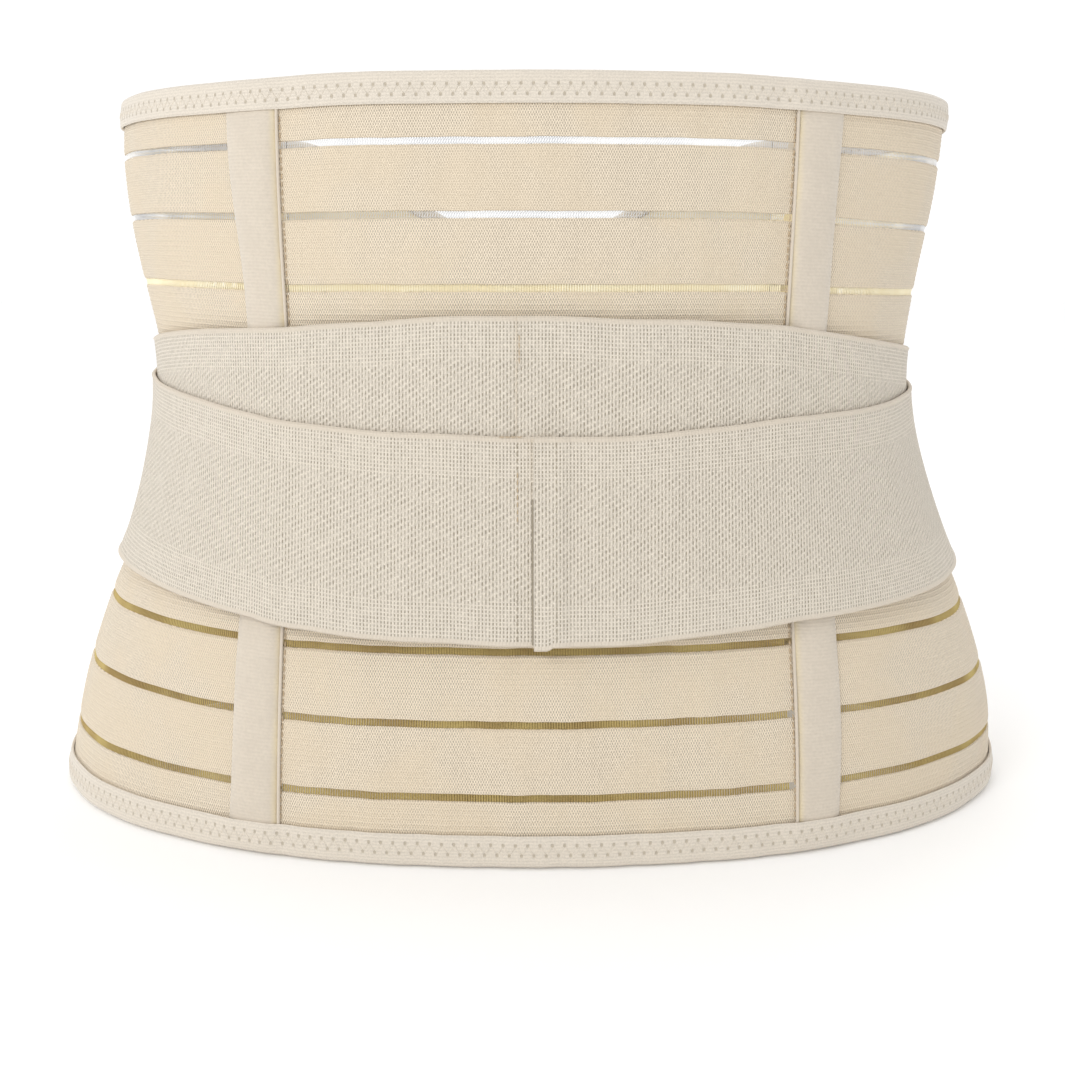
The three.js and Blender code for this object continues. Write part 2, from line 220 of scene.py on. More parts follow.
def side_share(station):
    """1 over most of a side, 0 at the back and at the front seam."""
    along = np.abs(station)
    return smooth((along - 0.85) / 0.5) * smooth((SEAM_STATION - along) / 0.25)


# How far the sides lean towards +X, as (height, distance) pairs.
LEAN_LEFT = (
    (0, 1.9), (15, 3.0), (30, 2.8), (65, 2.8), (80, 3.2), (85, 4.5), (100, 4.5), (120, 3.4),
    (140, 2.7), (150, 1.6), (158, 1.8), (175, -0.2), (190, -1.2), (205, -1.1), (217, 0.0),
    (232, 1.3), (243, 3.0), (250, 3.2),
)
LEAN_RIGHT = (
    (0, -2.2), (10, -2.2), (18, -1.2), (30, 0.9), (50, 1.8), (65, 2.0), (80, 1.7), (90, 0.8),
    (100, 0.2), (125, -0.8), (150, -1.2), (160, -1.2), (172, -0.4), (190, -0.4), (220, 0.0),
    (240, -0.5), (250, 0.0),
)
SIDE_SAG = 1.9
BACK_RISE = 1.0
FRONT_DROOP = 5.5


def table_at(table, z):
    """The value of a table of (height, value) pairs at a height, softened a little."""
    heights, values = np.array(table, float).T
    around = [np.interp(z + step, heights, values) for step in (-8.0, -4.0, 0.0, 4.0, 8.0)]
    return sum(around) / len(around)


def slump(station, z):
    """How far the cloth sags or stands higher than the form, and how far its sides lean."""
    along = np.abs(station)
    inner = smooth(np.minimum(z, HEIGHT - z) / 42.0)
    share = side_share(station)
    upper = smooth((z - WAIST_HEIGHT) / (HEIGHT - WAIST_HEIGHT))
    rise = np.where(station < 0, SIDE_SAG, -SIDE_SAG) * share * inner
    rise = rise + BACK_RISE * smooth((1.15 - along) / 0.6) * upper
    rise = rise - FRONT_DROOP * smooth((along - 1.45) / 0.5) * upper
    lean = np.where(station < 0, table_at(LEAN_LEFT, z), table_at(LEAN_RIGHT, z))
    return rise, share * lean


def belt_points(station, z, offset):
    """Points of the belt in metres: stations, heights, and distances outward."""
    station, z, offset = np.broadcast_arrays(
        np.asarray(station, float), np.asarray(z, float), np.asarray(offset, float)
    )
    side = np.where(station < 0, -1.0, 1.0)
    along = np.abs(station)
    half_width = profile(HALF_WIDTH, z)
    front = front_depth(half_width)
    back = profile(BACK_DEPTH, z)
    point = form.look_up(along, z)
    x, y = point[..., 0], point[..., 1]
    ahead = along > SEAM_STATION
    front_x = SEAM_X * (FRONT_STATION - along)
    share = np.clip(np.abs(front_x) / half_width, 0.0, 1.0) ** FRONT_EXPONENT
    front_y = front * (1.0 - share) ** (1.0 / FRONT_EXPONENT)
    x, y = np.where(ahead, front_x, x), np.where(ahead, front_y, y)
    depth = np.where(y < 0, back, front)
    power = np.where(y < 0, BACK_EXPONENT, FRONT_EXPONENT) - 1.0
    nx = np.sign(x) * (np.abs(x) / half_width) ** power / half_width
    ny = np.sign(y) * (np.abs(y) / depth) ** power / depth
    size = np.hypot(nx, ny)
    nx, ny = nx / size, ny / size
    unit = np.where(ahead, SEAM_X, SIDE_LENGTH)
    forward = smooth(1.0 - np.abs(along - SEAM_STATION) * unit / SEAM_BLEND)
    sx, sy = mix(nx, 0.0, forward), mix(ny, 1.0, forward)
    size = np.hypot(sx, sy)
    sx, sy = sx / size, sy / size
    reach = (offset + ripple(station, z)) / (sx * nx + sy * ny)
    x, y = side * (x + sx * reach), y + sy * reach + middle_shift
    sag, lean = slump(station, z)
    return np.stack([x + lean, y, z + sag], -1) * MM


def find_middle_shift():
    """The part's own shift along Y, read from the frame: its bottom binding's back face."""
    low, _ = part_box("bottom_binding")
    outer = BACK_DEPTH[0] + BAND_THICK + GAP + TAPE
    return low.y / MM + outer


middle_shift = find_middle_shift()

# ---- meshes ----


def make_mesh(name, points, faces, weave, material, sharp_degrees=40.0):
    """An object from points in metres, faces as index lists and cloth coordinates."""
    mesh = bpy.data.meshes.new(name)
    mesh.from_pydata(points.reshape(-1, 3).tolist(), [], faces)
    attribute = mesh.attributes.new("weave", "FLOAT_VECTOR", "POINT")
    attribute.data.foreach_set("vector", np.asarray(weave, np.float32).ravel())
    mesh.polygons.foreach_set("use_smooth", [True] * len(mesh.polygons))
    mesh.validate()
    mesh.update()
    mesh.set_sharp_from_angle(angle=math.radians(sharp_degrees))
    mesh.materials.append(material)
    obj = bpy.data.objects.new(name, mesh)
    bpy.context.scene.collection.objects.link(obj)
    return obj


def grid_faces(rows, columns, close_columns, base=0):
    """Quads over a grid of points; close_columns joins the last column to the first."""
    i = np.arange(rows - 1)[:, None]
    j = np.arange(columns if close_columns else columns - 1)[None, :]
    k = (j + 1) % columns
    quads = np.stack(
        [
            i * columns + j + 0 * k,
            i * columns + k,
            (i + 1) * columns + k,
            (i + 1) * columns + j + 0 * k,
        ],
        -1,
    )
    return (quads.reshape(-1, 4) + base).tolist()


def signed_volume(points, faces):
    total = 0.0
    for face in faces:
        a = points[face[0]]
        for b, c in zip(face[1:-1], face[2:]):
            total += np.dot(a, np.cross(points[b], points[c]))
    return total


def sweep(name, points, weave, material, sharp_degrees=40.0):
    """A closed solid from one loop of points per step: points is steps x loop x 3."""
    steps, loop = points.shape[:2]
    faces = grid_faces(steps, loop, True)
    last = (steps - 1) * loop
    faces.append(list(range(loop - 1, -1, -1)))
    faces.append([last + i for i in range(loop)])
    flat = points.reshape(-1, 3)
    sample = grid_faces(2, loop, True)
    ring = points[:2].reshape(-1, 3)
    caps = [list(range(loop - 1, -1, -1)), [loop + i for i in range(loop)]]
    centred = ring - ring.mean(0)
    if signed_volume(centred, sample + caps) < 0:
        faces = [face[::-1] for face in faces]
    return make_mesh(name, flat, faces, weave, material, sharp_degrees)


def by_number(number):
    return (number, 0, 0)


def tubes(name, paths, radius_mm, sides, material, weave_of=by_number):
    """Many thin tubes in one object. Each path is a list of points in metres; the tubes have
    closed ends that taper to a point. weave_of(number) gives a whole tube's cloth place."""
    radius = radius_mm * MM
    all_points, all_faces, all_weave = [], [], []
    base = 0
    angles = np.arange(sides) * 2.0 * math.pi / sides
    for number, path in enumerate(paths):
        path = np.asarray(path, float)
        tangent = np.gradient(path, axis=0)
        tangent /= np.linalg.norm(tangent, axis=1)[:, None]
        outward = path * np.array([1.0, 1.0, 0.0])
        outward /= np.linalg.norm(outward, axis=1)[:, None]
        across = np.cross(tangent, outward)
        across /= np.linalg.norm(across, axis=1)[:, None]
        out = np.cross(across, tangent)
        ring = (
            across[:, None, :] * np.cos(angles)[None, :, None]
            + out[:, None, :] * np.sin(angles)[None, :, None]
        )
        body = path[:, None, :] + ring * radius
        tip = radius * 0.6
        start = path[0] - tangent[0] * tip
        end = path[-1] + tangent[-1] * tip
        points = np.concatenate([body.reshape(-1, 3), [start, end]])
        faces = grid_faces(len(path), sides, True, base)
        first, final = base + len(path) * sides, base + len(path) * sides + 1
        tail = base + (len(path) - 1) * sides
        for i in range(sides):
            j = (i + 1) % sides
            faces.append([base + j, base + i, first])
            faces.append([tail + i, tail + j, final])
        all_points.append(points)
        all_faces += faces
        all_weave.append(np.full((len(points), 3), weave_of(number), float))
        base += len(points)
    points = np.concatenate(all_points)
    probe = [face for face in all_faces if max(face) < len(all_points[0])]
    centred = all_points[0] - all_points[0].mean(0)
    if signed_volume(centred, probe) < 0:
        all_faces = [face[::-1] for face in all_faces]
    return make_mesh(name, points, all_faces, np.concatenate(all_weave), material, 80.0)


def belt_sweep(name, stations, section, material, seed=0.0, across=None, sharp_degrees=40.0):
    """A strip along the belt. section(stations) gives heights and distances out, each of
    shape steps x loop; across gives the cloth's own coordinate, heights if it is left out."""
    z, offset = section(stations)
    points = belt_points(stations[:, None], z, offset)
    along = form.length_at(stations[:, None] * np.ones_like(z), z)
    cross = z if across is None else across
    inside = np.where(offset < 0.02, INSIDE + z, 0.0)
    weave = np.stack([along, np.broadcast_to(cross, z.shape), seed + inside], -1)
    return sweep(name, points, weave, material, sharp_degrees)


def rounded_loop(width, thickness, rows, edge_steps=4, outer=None):
    """A strip's section as (across, out) pairs: across runs from 0 to width, out from 0 to
    thickness, with round edges. outer(across) adds to the outer face."""
    radius = thickness / 2.0
    run = np.linspace(radius, width - radius, rows)
    lift = outer(run) if outer else np.zeros(rows)
    face = np.stack([run, thickness + lift], -1)
    turn = np.linspace(math.pi / 2, -math.pi / 2, edge_steps + 2)[1:-1]
    top = np.stack([width - radius + radius * np.cos(turn), radius + radius * np.sin(turn)], -1)
    inner_run = run[::-1][:: max(1, rows // 10)]
    back = np.stack([inner_run, np.zeros(len(inner_run))], -1)
    turn = np.linspace(-math.pi / 2, -3 * math.pi / 2, edge_steps + 2)[1:-1]
    bottom = np.stack([radius + radius * np.cos(turn), radius + radius * np.sin(turn)], -1)
    return np.concatenate([face, top, back, bottom])


# ---- materials ----


class Cloth:
    """A node material, built up by short calls. Values are sockets or plain numbers."""

    def __init__(self, name, roughness=0.9, sheen=0.25, specular=0.25):
        self.material = bpy.data.materials.new(name)
        self.material.use_nodes = True
        self.tree = self.material.node_tree
        self.shader = self.tree.nodes["Principled BSDF"]
        self.shader.inputs["Roughness"].default_value = roughness
        self.shader.inputs["Specular IOR Level"].default_value = specular
        self.shader.inputs["Sheen Weight"].default_value = sheen
        self.shader.inputs["Sheen Roughness"].default_value = 0.5
        attribute = self.node("ShaderNodeAttribute")
        attribute.attribute_name = "weave"
        self.place = attribute.outputs["Vector"]
        split = self.node("ShaderNodeSeparateXYZ")
        self.link(self.place, split.inputs[0])
        self.along, self.across, self.seed = split.outputs

    def node(self, kind):
        return self.tree.nodes.new(kind)

    def link(self, source, socket):
        if isinstance(source, bpy.types.NodeSocket):
            self.tree.links.new(source, socket)
        else:
            socket.default_value = source

    def math(self, operation, a, b=0.0, c=0.0):
        node = self.node("ShaderNodeMath")
        node.operation = operation
        for socket, value in zip(node.inputs, (a, b, c)):
            self.link(value, socket)
        return node.outputs[0]

    def wave(self, value, period, shift=0.0):
        """From -1 to 1, a cosine along value."""
        turns = self.math("MULTIPLY_ADD", value, 2.0 * math.pi / period, shift)
        return self.math("COSINE", turns)

    def ramp(self, value, low, high, out_low=0.0, out_high=1.0):
        """Smoothly from out_low to out_high as value goes from low to high."""
        node = self.node("ShaderNodeMapRange")
        node.interpolation_type = "SMOOTHSTEP"
        for socket, given in zip(node.inputs, (value, low, high, out_low, out_high)):
            self.link(given, socket)
        return node.outputs[0]

    def noise(self, scale, detail=2.0, stretch=(1.0, 1.0, 37.0)):
        """Soft noise over the cloth's own coordinates; scale is per millimetre."""
        move = self.node("ShaderNodeMapping")
        self.link(self.place, move.inputs["Vector"])
        move.inputs["Scale"].default_value = stretch
        node = self.node("ShaderNodeTexNoise")
        self.link(move.outputs[0], node.inputs["Vector"])
        node.inputs["Scale"].default_value = scale
        node.inputs["Detail"].default_value = detail
        return node.outputs[0]

    def blend(self, share, a, b):
        node = self.node("ShaderNodeMix")
        node.data_type = "RGBA"
        self.link(share, node.inputs[0])
        for socket, value in ((node.inputs[6], a), (node.inputs[7], b)):
            self.link((*value, 1.0) if isinstance(value, tuple) else value, socket)
        return node.outputs[2]

    def colour(self, value, inner=False):
        """Sets the colour; with inner, the face that looks into the belt gets painted shade low
        down and painted light near the top instead.
        """
        if inner:
            level = self.ramp(self.seed, INSIDE + 105.0, INSIDE + 172.0)
            inside = self.blend(level, INSIDE_PAINTED_SHADE, INSIDE_PAINTED_LIGHT)
            value = self.blend(self.ramp(self.seed, 200.0, 800.0), value, inside)
        value = (*value, 1.0) if isinstance(value, tuple) else value
        self.link(value, self.shader.inputs["Base Color"])

    def bump(self, height, depth_mm, strength=1.0):
        node = self.node("ShaderNodeBump")
        node.inputs["Strength"].default_value = strength
        node.inputs["Distance"].default_value = depth_mm * MM
        self.link(height, node.inputs["Height"])
        self.link(node.outputs[0], self.shader.inputs["Normal"])


def shade(colour, factor):
    return tuple(c * factor for c in colour)


BAND_COLOUR = (0.735, 0.637, 0.50)
BINDING_COLOUR = (0.69, 0.625, 0.535)
TAPE_COLOUR = (0.635, 0.562, 0.467)
STRAP_COLOUR = (0.735, 0.668, 0.57)
PANEL_COLOUR = (0.66, 0.575, 0.445)
THREAD_COLOUR = (0.70, 0.635, 0.54)
# Colours of the faces inside the belt: painted shade low down, painted light near its open top.
INSIDE_PAINTED_SHADE = (0.60, 0.49, 0.29)
INSIDE_PAINTED_LIGHT = (0.93, 0.81, 0.54)


def band_cloth():
    """Elastic band: fine ribs along it, and weft dots that alternate from rib to rib."""
    cloth = Cloth("elastic_band", roughness=0.85, sheen=0.2)
    dots = cloth.math(
        "MULTIPLY", cloth.wave(cloth.along, THREAD_PITCH), cloth.wave(cloth.across, RIB_PITCH)
    )
    rib = cloth.wave(cloth.across, RIB_PITCH / 2.0)
    fuzz = cloth.noise(1.8, 3.0)
    broad = cloth.noise(0.035, 2.0)
    pits = cloth.ramp(cloth.math("MULTIPLY_ADD", fuzz, 0.9, dots), -0.35, 1.0)
    fine = cloth.blend(pits, shade(BAND_COLOUR, 0.60), shade(BAND_COLOUR, 1.20))
    warm = (BAND_COLOUR[0] * 0.985, BAND_COLOUR[1] * 0.955, BAND_COLOUR[2] * 0.90)
    patch = cloth.ramp(broad, 0.38, 0.62, 0.0, 0.5)
    # Its inside face gets painted shade and light by height.
    cloth.colour(cloth.blend(patch, fine, warm), True)
    height = cloth.math("MULTIPLY_ADD", rib, 0.35, dots)
    height = cloth.math("MULTIPLY_ADD", fuzz, 0.5, height)
    cloth.bump(height, 0.10, 1.0)
    return cloth.material


def binding_cloth():
    """Folded elastic binding: smooth, with lines along the edge and zigzag needle holes darkened
    with painted shade.
    """
    cloth = Cloth("edge_binding", roughness=0.8, sheen=0.25)
    lines = cloth.wave(cloth.across, 1.05)
    knit = cloth.math("MULTIPLY", cloth.wave(cloth.along, 0.9), cloth.wave(cloth.across, 1.05))
    fuzz = cloth.noise(1.6, 3.0)
    holes = None
    for number, row in enumerate(ZIGZAG_ROWS):
        shift = math.pi * number
        near = cloth.ramp(cloth.wave(cloth.along, ZIGZAG_PERIOD, shift), 0.62, 0.93)
        far = cloth.math("ABSOLUTE", cloth.math("SUBTRACT", cloth.across, row))
        spot = cloth.math("MULTIPLY", near, cloth.ramp(far, 0.3, 0.85, 1.0, 0.0))
        holes = spot if holes is None else cloth.math("MAXIMUM", holes, spot)
    fine = cloth.blend(
        cloth.ramp(cloth.math("MULTIPLY_ADD", lines, 0.10, fuzz), 0.3, 0.7),
        shade(BINDING_COLOUR, 0.90),
        shade(BINDING_COLOUR, 1.05),
    )
    # Painted shade darkens the needle holes.
    cloth.colour(cloth.blend(cloth.math("MULTIPLY", holes, 0.75), fine, (0.42, 0.36, 0.27)))
    height = cloth.math("MULTIPLY_ADD", knit, 0.6, cloth.math("MULTIPLY", lines, 0.45))
    height = cloth.math("MULTIPLY_ADD", fuzz, 1.2, height)
    height = cloth.math("MULTIPLY_ADD", holes, -4.0, height)
    cloth.bump(height, 0.07, 0.7)
    return cloth.material


def tape_cloth():
    """Brushed casing tape: soft, with faint ribs across it, and a yellowish painted shade along
    its inner edge, where it falls towards the seam cord.
    """
    cloth = Cloth("bone_tape", roughness=0.95, sheen=0.5, specular=0.15)
    ribs = cloth.wave(cloth.along, 1.15)
    fuzz = cloth.noise(1.1, 4.0)
    soft = cloth.noise(0.12, 3.0)
    tone = cloth.ramp(cloth.math("MULTIPLY_ADD", ribs, 0.10, fuzz), 0.25, 0.75)
    fine = cloth.blend(tone, shade(TAPE_COLOUR, 0.94), shade(TAPE_COLOUR, 1.03))
    # Painted shade: yellowish towards the inner edge, in the hollow beside the seam cord.
    edge = cloth.ramp(cloth.across, 5.5, 8.6, 0.0, 0.85)
    warm = cloth.blend(edge, fine, (0.74, 0.63, 0.40))
    patch = cloth.ramp(soft, 0.4, 0.65, 0.0, 0.35)
    cloth.colour(cloth.blend(patch, warm, shade(TAPE_COLOUR, 0.93)))
    height = cloth.math("MULTIPLY_ADD", ribs, 0.30, fuzz)
    cloth.bump(height, 0.16, 0.6)
    return cloth.material


def strap_cloth():
    """Open woven strap: columns of short gaps, darkened with painted shade, that sit square near
    the selvages and run in slanting rows between them, with smooth warm selvages."""
    cloth = Cloth("strap_elastic", roughness=0.85, sheen=0.2)
    middle = cloth.math("ABSOLUTE", cloth.across)
    drift = cloth.math("MULTIPLY", cloth.noise(0.05, 2.0), 5.0)
    square = cloth.ramp(cloth.math("ADD", middle, drift), 20.5, 22.5)
    column = cloth.math("DIVIDE", cloth.along, STRAP_COLUMN_PITCH)
    index = cloth.math("FLOOR", column)
    within = cloth.math("ABSOLUTE", cloth.math("SUBTRACT", cloth.math("FRACT", column), 0.5))
    narrow = cloth.ramp(within, 0.08, 0.24, 1.0, 0.0)

    def gaps(row_pitch, slant, short, long):
        row = cloth.math("DIVIDE", cloth.across, row_pitch)
        row = cloth.math("FRACT", cloth.math("MULTIPLY_ADD", index, slant, row))
        away = cloth.math("ABSOLUTE", cloth.math("SUBTRACT", row, 0.5))
        return cloth.math("MULTIPLY", narrow, cloth.ramp(away, short, long, 1.0, 0.0))

    upright = gaps(1.25, 0.0, 0.24, 0.40)
    slanting = gaps(1.95, -0.29, 0.20, 0.38)
    slanting = cloth.math("MAXIMUM", slanting, cloth.math("MULTIPLY", upright, 0.5))
    difference = cloth.math("SUBTRACT", upright, slanting)
    gap = cloth.math("MULTIPLY_ADD", difference, square, slanting)
    open_share = cloth.ramp(cloth.noise(0.45, 2.0), 0.35, 0.62, 0.6, 1.0)
    gap = cloth.math("MULTIPLY", gap, open_share)
    cloth_area = cloth.ramp(middle, STRAP_WIDTH / 2 - 1.9, STRAP_WIDTH / 2 - 1.4, 1.0, 0.0)
    gap = cloth.math("MULTIPLY", gap, cloth_area)
    fuzz = cloth.noise(2.0, 3.0)
    tone = cloth.ramp(fuzz, 0.3, 0.7)
    fine = cloth.blend(tone, shade(STRAP_COLOUR, 0.88), shade(STRAP_COLOUR, 1.08))
    slope = cloth.math("MULTIPLY_ADD", cloth.across, -1.15, cloth.along)
    twill = cloth.math("MULTIPLY", cloth.wave(slope, 2.9), cloth.math("SUBTRACT", 1.0, square))
    wefts = cloth.math("MULTIPLY", cloth.wave(cloth.across, 1.25), square)
    fine = cloth.blend(cloth.ramp(twill, 0.0, 1.0, 0.0, 0.30), fine, shade(STRAP_COLOUR, 0.76))
    # Painted shade in the weave's open gaps.
    meshed = cloth.blend(cloth.math("MULTIPLY", gap, 0.85), fine, (0.30, 0.25, 0.17))
    cloth.colour(cloth.blend(cloth_area, (0.675, 0.60, 0.50), meshed))
    ridge = cloth.ramp(within, 0.15, 0.5)
    height = cloth.math("MULTIPLY_ADD", gap, -2.0, ridge)
    height = cloth.math("MULTIPLY_ADD", twill, -0.8, height)
    height = cloth.math("MULTIPLY_ADD", wefts, -0.5, height)
    height = cloth.math("MULTIPLY_ADD", fuzz, 0.8, height)
    cloth.bump(height, 0.13, 0.9)
    return cloth.material


def panel_cloth():
    """Brushed loop laminate of the front panels."""
    cloth = Cloth("panel_fabric", roughness=0.95, sheen=0.6, specular=0.15)
    pile = cloth.noise(2.4, 4.0)
    loops = cloth.noise(0.9, 2.0, (1.0, 1.6, 37.0))
    broad = cloth.noise(0.04, 2.0)
    tone = cloth.ramp(cloth.math("MULTIPLY_ADD", pile, 0.6, loops), 0.5, 1.05)
    fine = cloth.blend(tone, shade(PANEL_COLOUR, 0.88), shade(PANEL_COLOUR, 1.06))
    outside = cloth.blend(cloth.ramp(broad, 0.4, 0.6, 0.0, 0.4), fine, shade(PANEL_COLOUR, 0.93))
    # Its inside face gets painted shade and light by height.
    cloth.colour(outside, True)
    cloth.bump(cloth.math("ADD", pile, loops), 0.25, 0.7)
    return cloth.material


def hook_plastic():
    """Hook tape: rows of small stiff hooks on a plain back, with the hook tops painted lighter and
    the back between them painted darker, as painted light and shade.
    """
    cloth = Cloth("hook_tape", roughness=0.55, sheen=0.0, specular=0.4)
    rows = cloth.math("MULTIPLY", cloth.wave(cloth.along, 1.4), cloth.wave(cloth.across, 1.2))
    # Painted light on the hook tops and painted shade between them.
    peaks = cloth.ramp(rows, 0.1, 0.8)
    cloth.colour(cloth.blend(peaks, (0.62, 0.55, 0.43), (0.82, 0.76, 0.64)))
    cloth.bump(peaks, 0.4, 0.9)
    return cloth.material


def label_satin():
    """Blank satin label with fine cross lines."""
    cloth = Cloth("label_cloth", roughness=0.5, sheen=0.1, specular=0.4)
    lines = cloth.wave(cloth.across, 0.4)
    tone = cloth.ramp(lines, -1.0, 1.0)
    cloth.colour(cloth.blend(tone, (0.80, 0.79, 0.76), (0.87, 0.86, 0.83)))
    cloth.bump(lines, 0.03, 0.5)
    return cloth.material


def sewing_thread(name, colour, roughness=0.6):
    """Twisted sewing thread, seen from close by."""
    cloth = Cloth(name, roughness=roughness, sheen=0.2)
    tone = cloth.noise(0.9, 2.0, (1.0, 1.0, 1.0))
    cloth.colour(cloth.blend(tone, shade(colour, 0.88), shade(colour, 1.08)))
    cloth.bump(tone, 0.05, 0.4)
    return cloth.material


def thread_painted_light_and_shade():
    """Clear weft thread, drawn opaque: its colour by height is painted shade of the belt's dark
    inside below, and painted light of the lit inside higher up and of the white studio at the top.
    """
    cloth = Cloth("slot_thread", roughness=0.6, sheen=0.0, specular=0.1)
    # Painted light and shade by height, for what shows through the slots.
    level = cloth.ramp(cloth.across, 185.0, 200.0)
    tone = cloth.ramp(cloth.noise(0.05, 2.0, (1.0, 1.0, 0.0)), 0.3, 0.7)
    low = cloth.blend(tone, (0.40, 0.285, 0.12), (0.58, 0.46, 0.19))
    mid = cloth.blend(tone, (0.90, 0.80, 0.55), (0.97, 0.91, 0.72))
    high = cloth.blend(tone, (0.62, 0.64, 0.68), (0.95, 0.95, 0.95))
    low = cloth.blend(cloth.ramp(cloth.across, 120.0, 170.0), low, mid)
    cloth.colour(cloth.blend(level, low, high))
    return cloth.material


def steel():
    """Brushed spring steel of the bones."""
    cloth = Cloth("spring_steel", roughness=0.3, sheen=0.0, specular=0.5)
    cloth.shader.inputs["Metallic"].default_value = 1.0
    brushed = cloth.noise(3.0, 3.0, (0.1, 4.0, 1.0))
    cloth.colour(cloth.blend(brushed, (0.42, 0.43, 0.44), (0.62, 0.63, 0.64)))
    cloth.bump(brushed, 0.01, 0.3)
    return cloth.material


cloths = {
    "band": band_cloth(),
    "binding": binding_cloth(),
    "tape": tape_cloth(),
    "strap": strap_cloth(),
    "panel": panel_cloth(),
    "hook": hook_plastic(),
    "label": label_satin(),
    "thread": sewing_thread("sewing_thread", THREAD_COLOUR),
    "tack": sewing_thread("tack_thread", (0.55, 0.42, 0.27)),
    "dim": sewing_thread("dim_thread", (0.38, 0.33, 0.25)),
    "clear": thread_painted_light_and_shade(),
    "steel": steel(),
}

# ---- how pieces follow the belt's bodies ----


def follow_seam(obj):
    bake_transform(obj)


def follow_tab(obj):
    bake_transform(obj)


def finish_piece(obj, nodes=(), ride=None, seam=None, tab=None):
    """Hides the CAD nodes that a piece stands for and parents it to the body that it rides on;
    with seam or tab, its transform is baked into its mesh."""
    if nodes:
        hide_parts(*nodes)
    if ride:
        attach(obj, ride)
    if seam:
        follow_seam(obj)
    if tab:
        follow_tab(obj)


# ---- elastic bands and the threads that bridge their slots ----
BACK_COLUMNS = 96
SIDE_COLUMNS = 92
RIB_SAMPLES = 6
BAND_TUCK = 0.985
LATTICE_FROM = 8


def band_limits(i):
    bottom = TAPE + GAP if i == 0 else i * PITCH
    top = HEIGHT - TAPE - GAP if i == BAND_COUNT - 1 else (i + 1) * PITCH - SLOT
    return bottom, top


def edge_waver(station, z):
    """A band's edge isn't quite straight."""
    return 0.07 * np.sin(station * 17.0 + z * 0.7) + 0.04 * np.sin(station * 41.0 + z)


def make_bands():
    for i in range(BAND_COUNT):
        bottom, top = band_limits(i)
        width = top - bottom
        rows = int(round(width / RIB_PITCH * RIB_SAMPLES))

        def ribs(across):
            return -0.07 * (1.0 - np.cos(2.0 * math.pi * across / RIB_PITCH))

        loop = rounded_loop(width, BAND_THICK, rows, 4, ribs)
        across = loop[None, :, 0]

        def section(stations, loop=loop, bottom=bottom, width=width):
            share = loop[None, :, 0] / width - 0.5
            z = bottom + loop[None, :, 0] + edge_waver(stations[:, None], bottom) * share * 2.0
            return z, np.broadcast_to(loop[None, :, 1], z.shape)

        number = f"{i + 1:02d}"
        cloth, seed = cloths["band"], i * 3.1
        stations = np.linspace(-BAND_TUCK, BAND_TUCK, BACK_COLUMNS + 1)
        band = belt_sweep(f"band_back_{number}", stations, section, cloth, seed, across)
        finish_piece(band, [f"back_band_{number}"], ride="root")
        for side, sign in SIDES.items():
            ends = sorted([sign * (2.0 - BAND_TUCK), sign * (SEAM_STATION - 0.001)])
            stations = np.linspace(*ends, SIDE_COLUMNS + 1)
            name = f"band_{side}_{number}"
            band = belt_sweep(name, stations, section, cloth, seed + sign, across)
            finish_piece(band, [f"side_band_{side}_{number}"], seam=side)


def slot_threads(name, first, last):
    """Clear weft threads across each slot, and the small loops that they make at its edges. Below
    the slot LATTICE_FROM they are close together, in two layers, and fill the slot like a sheet.
    The threads carry painted light and shade: the dark inside below, the bright studio above."""
    threads, dense, loops, levels_of = [], [], [], []
    for i in range(BAND_COUNT - 1):
        low = (i + 1) * PITCH - SLOT
        high = (i + 1) * PITCH
        start = form.length_at(np.array(first), np.array(low))
        end = form.length_at(np.array(last), np.array(low))
        count = int(abs(end - start) / THREAD_PITCH)
        stations = np.linspace(first, last, count)
        levels = np.array([low - 0.5, (low + high) / 2.0, high + 0.5])
        depth = np.array([0.9, 0.75, 0.9])
        paths = belt_points(stations[:, None], levels[None, :], depth[None, :])
        if i < LATTICE_FROM:
            half_step = (stations[1] - stations[0]) / 2.0
            behind = stations[:, None] + half_step
            dense += list(paths)
            dense += list(belt_points(behind, levels[None, :], depth[None, :] - 0.4))
        else:
            threads += list(paths)
            levels_of += [low] * len(paths)
            slant = np.array([-0.5, 0.0, 0.5])[None, :] * (stations[1] - stations[0]) * 2.4
            slanted = stations[:, None] + slant
            threads += list(belt_points(slanted, levels[None, :], depth[None, :] - 0.3))
            levels_of += [low] * len(paths)
        for level, away in ((low, 1.0), (high, -1.0)):
            wavered = level + edge_waver(stations, level) * away
            heights = wavered[:, None] + np.array([-0.5, -0.10])[None, :] * away
            loops += list(belt_points(stations[:, None], heights, 0.95))

    def thread_place(n):
        return (n, levels_of[n], 0)

    def weft_place(n):
        return (n * THREAD_PITCH, dense[n][1][2] / MM, 0)

    # This material paints the light and shade seen through the slots.
    clear = cloths["clear"]
    thread = tubes(f"slot_threads_{name}", threads, 0.09, 4, clear, thread_place)
    many = tubes(f"slot_wefts_{name}", dense, 0.24, 4, clear, weft_place)
    loop = tubes(f"slot_loops_{name}", loops, 0.27, 4, cloths["band"])
    return thread, many, loop


def make_slots():
    for piece in slot_threads("back", -0.9, 0.9):
        finish_piece(piece, ride="root")
    for side, sign in SIDES.items():
        for piece in slot_threads(side, sign * 1.03, sign * 1.985):
            finish_piece(piece, seam=side)


# ---- bindings and their zigzag stitching ----
BINDING_COLUMNS = 170
BONE_BUMP = 0.9
STITCH_RISE = np.array([-0.30, -0.02, 0.04, -0.02, -0.30])
STITCH_RADIUS = 0.19

# How far each casing and its cord are moved towards the back centre's +X side, in millimetres.
CASING_SHIFT = {"left": -1.0, "right": 2.1}


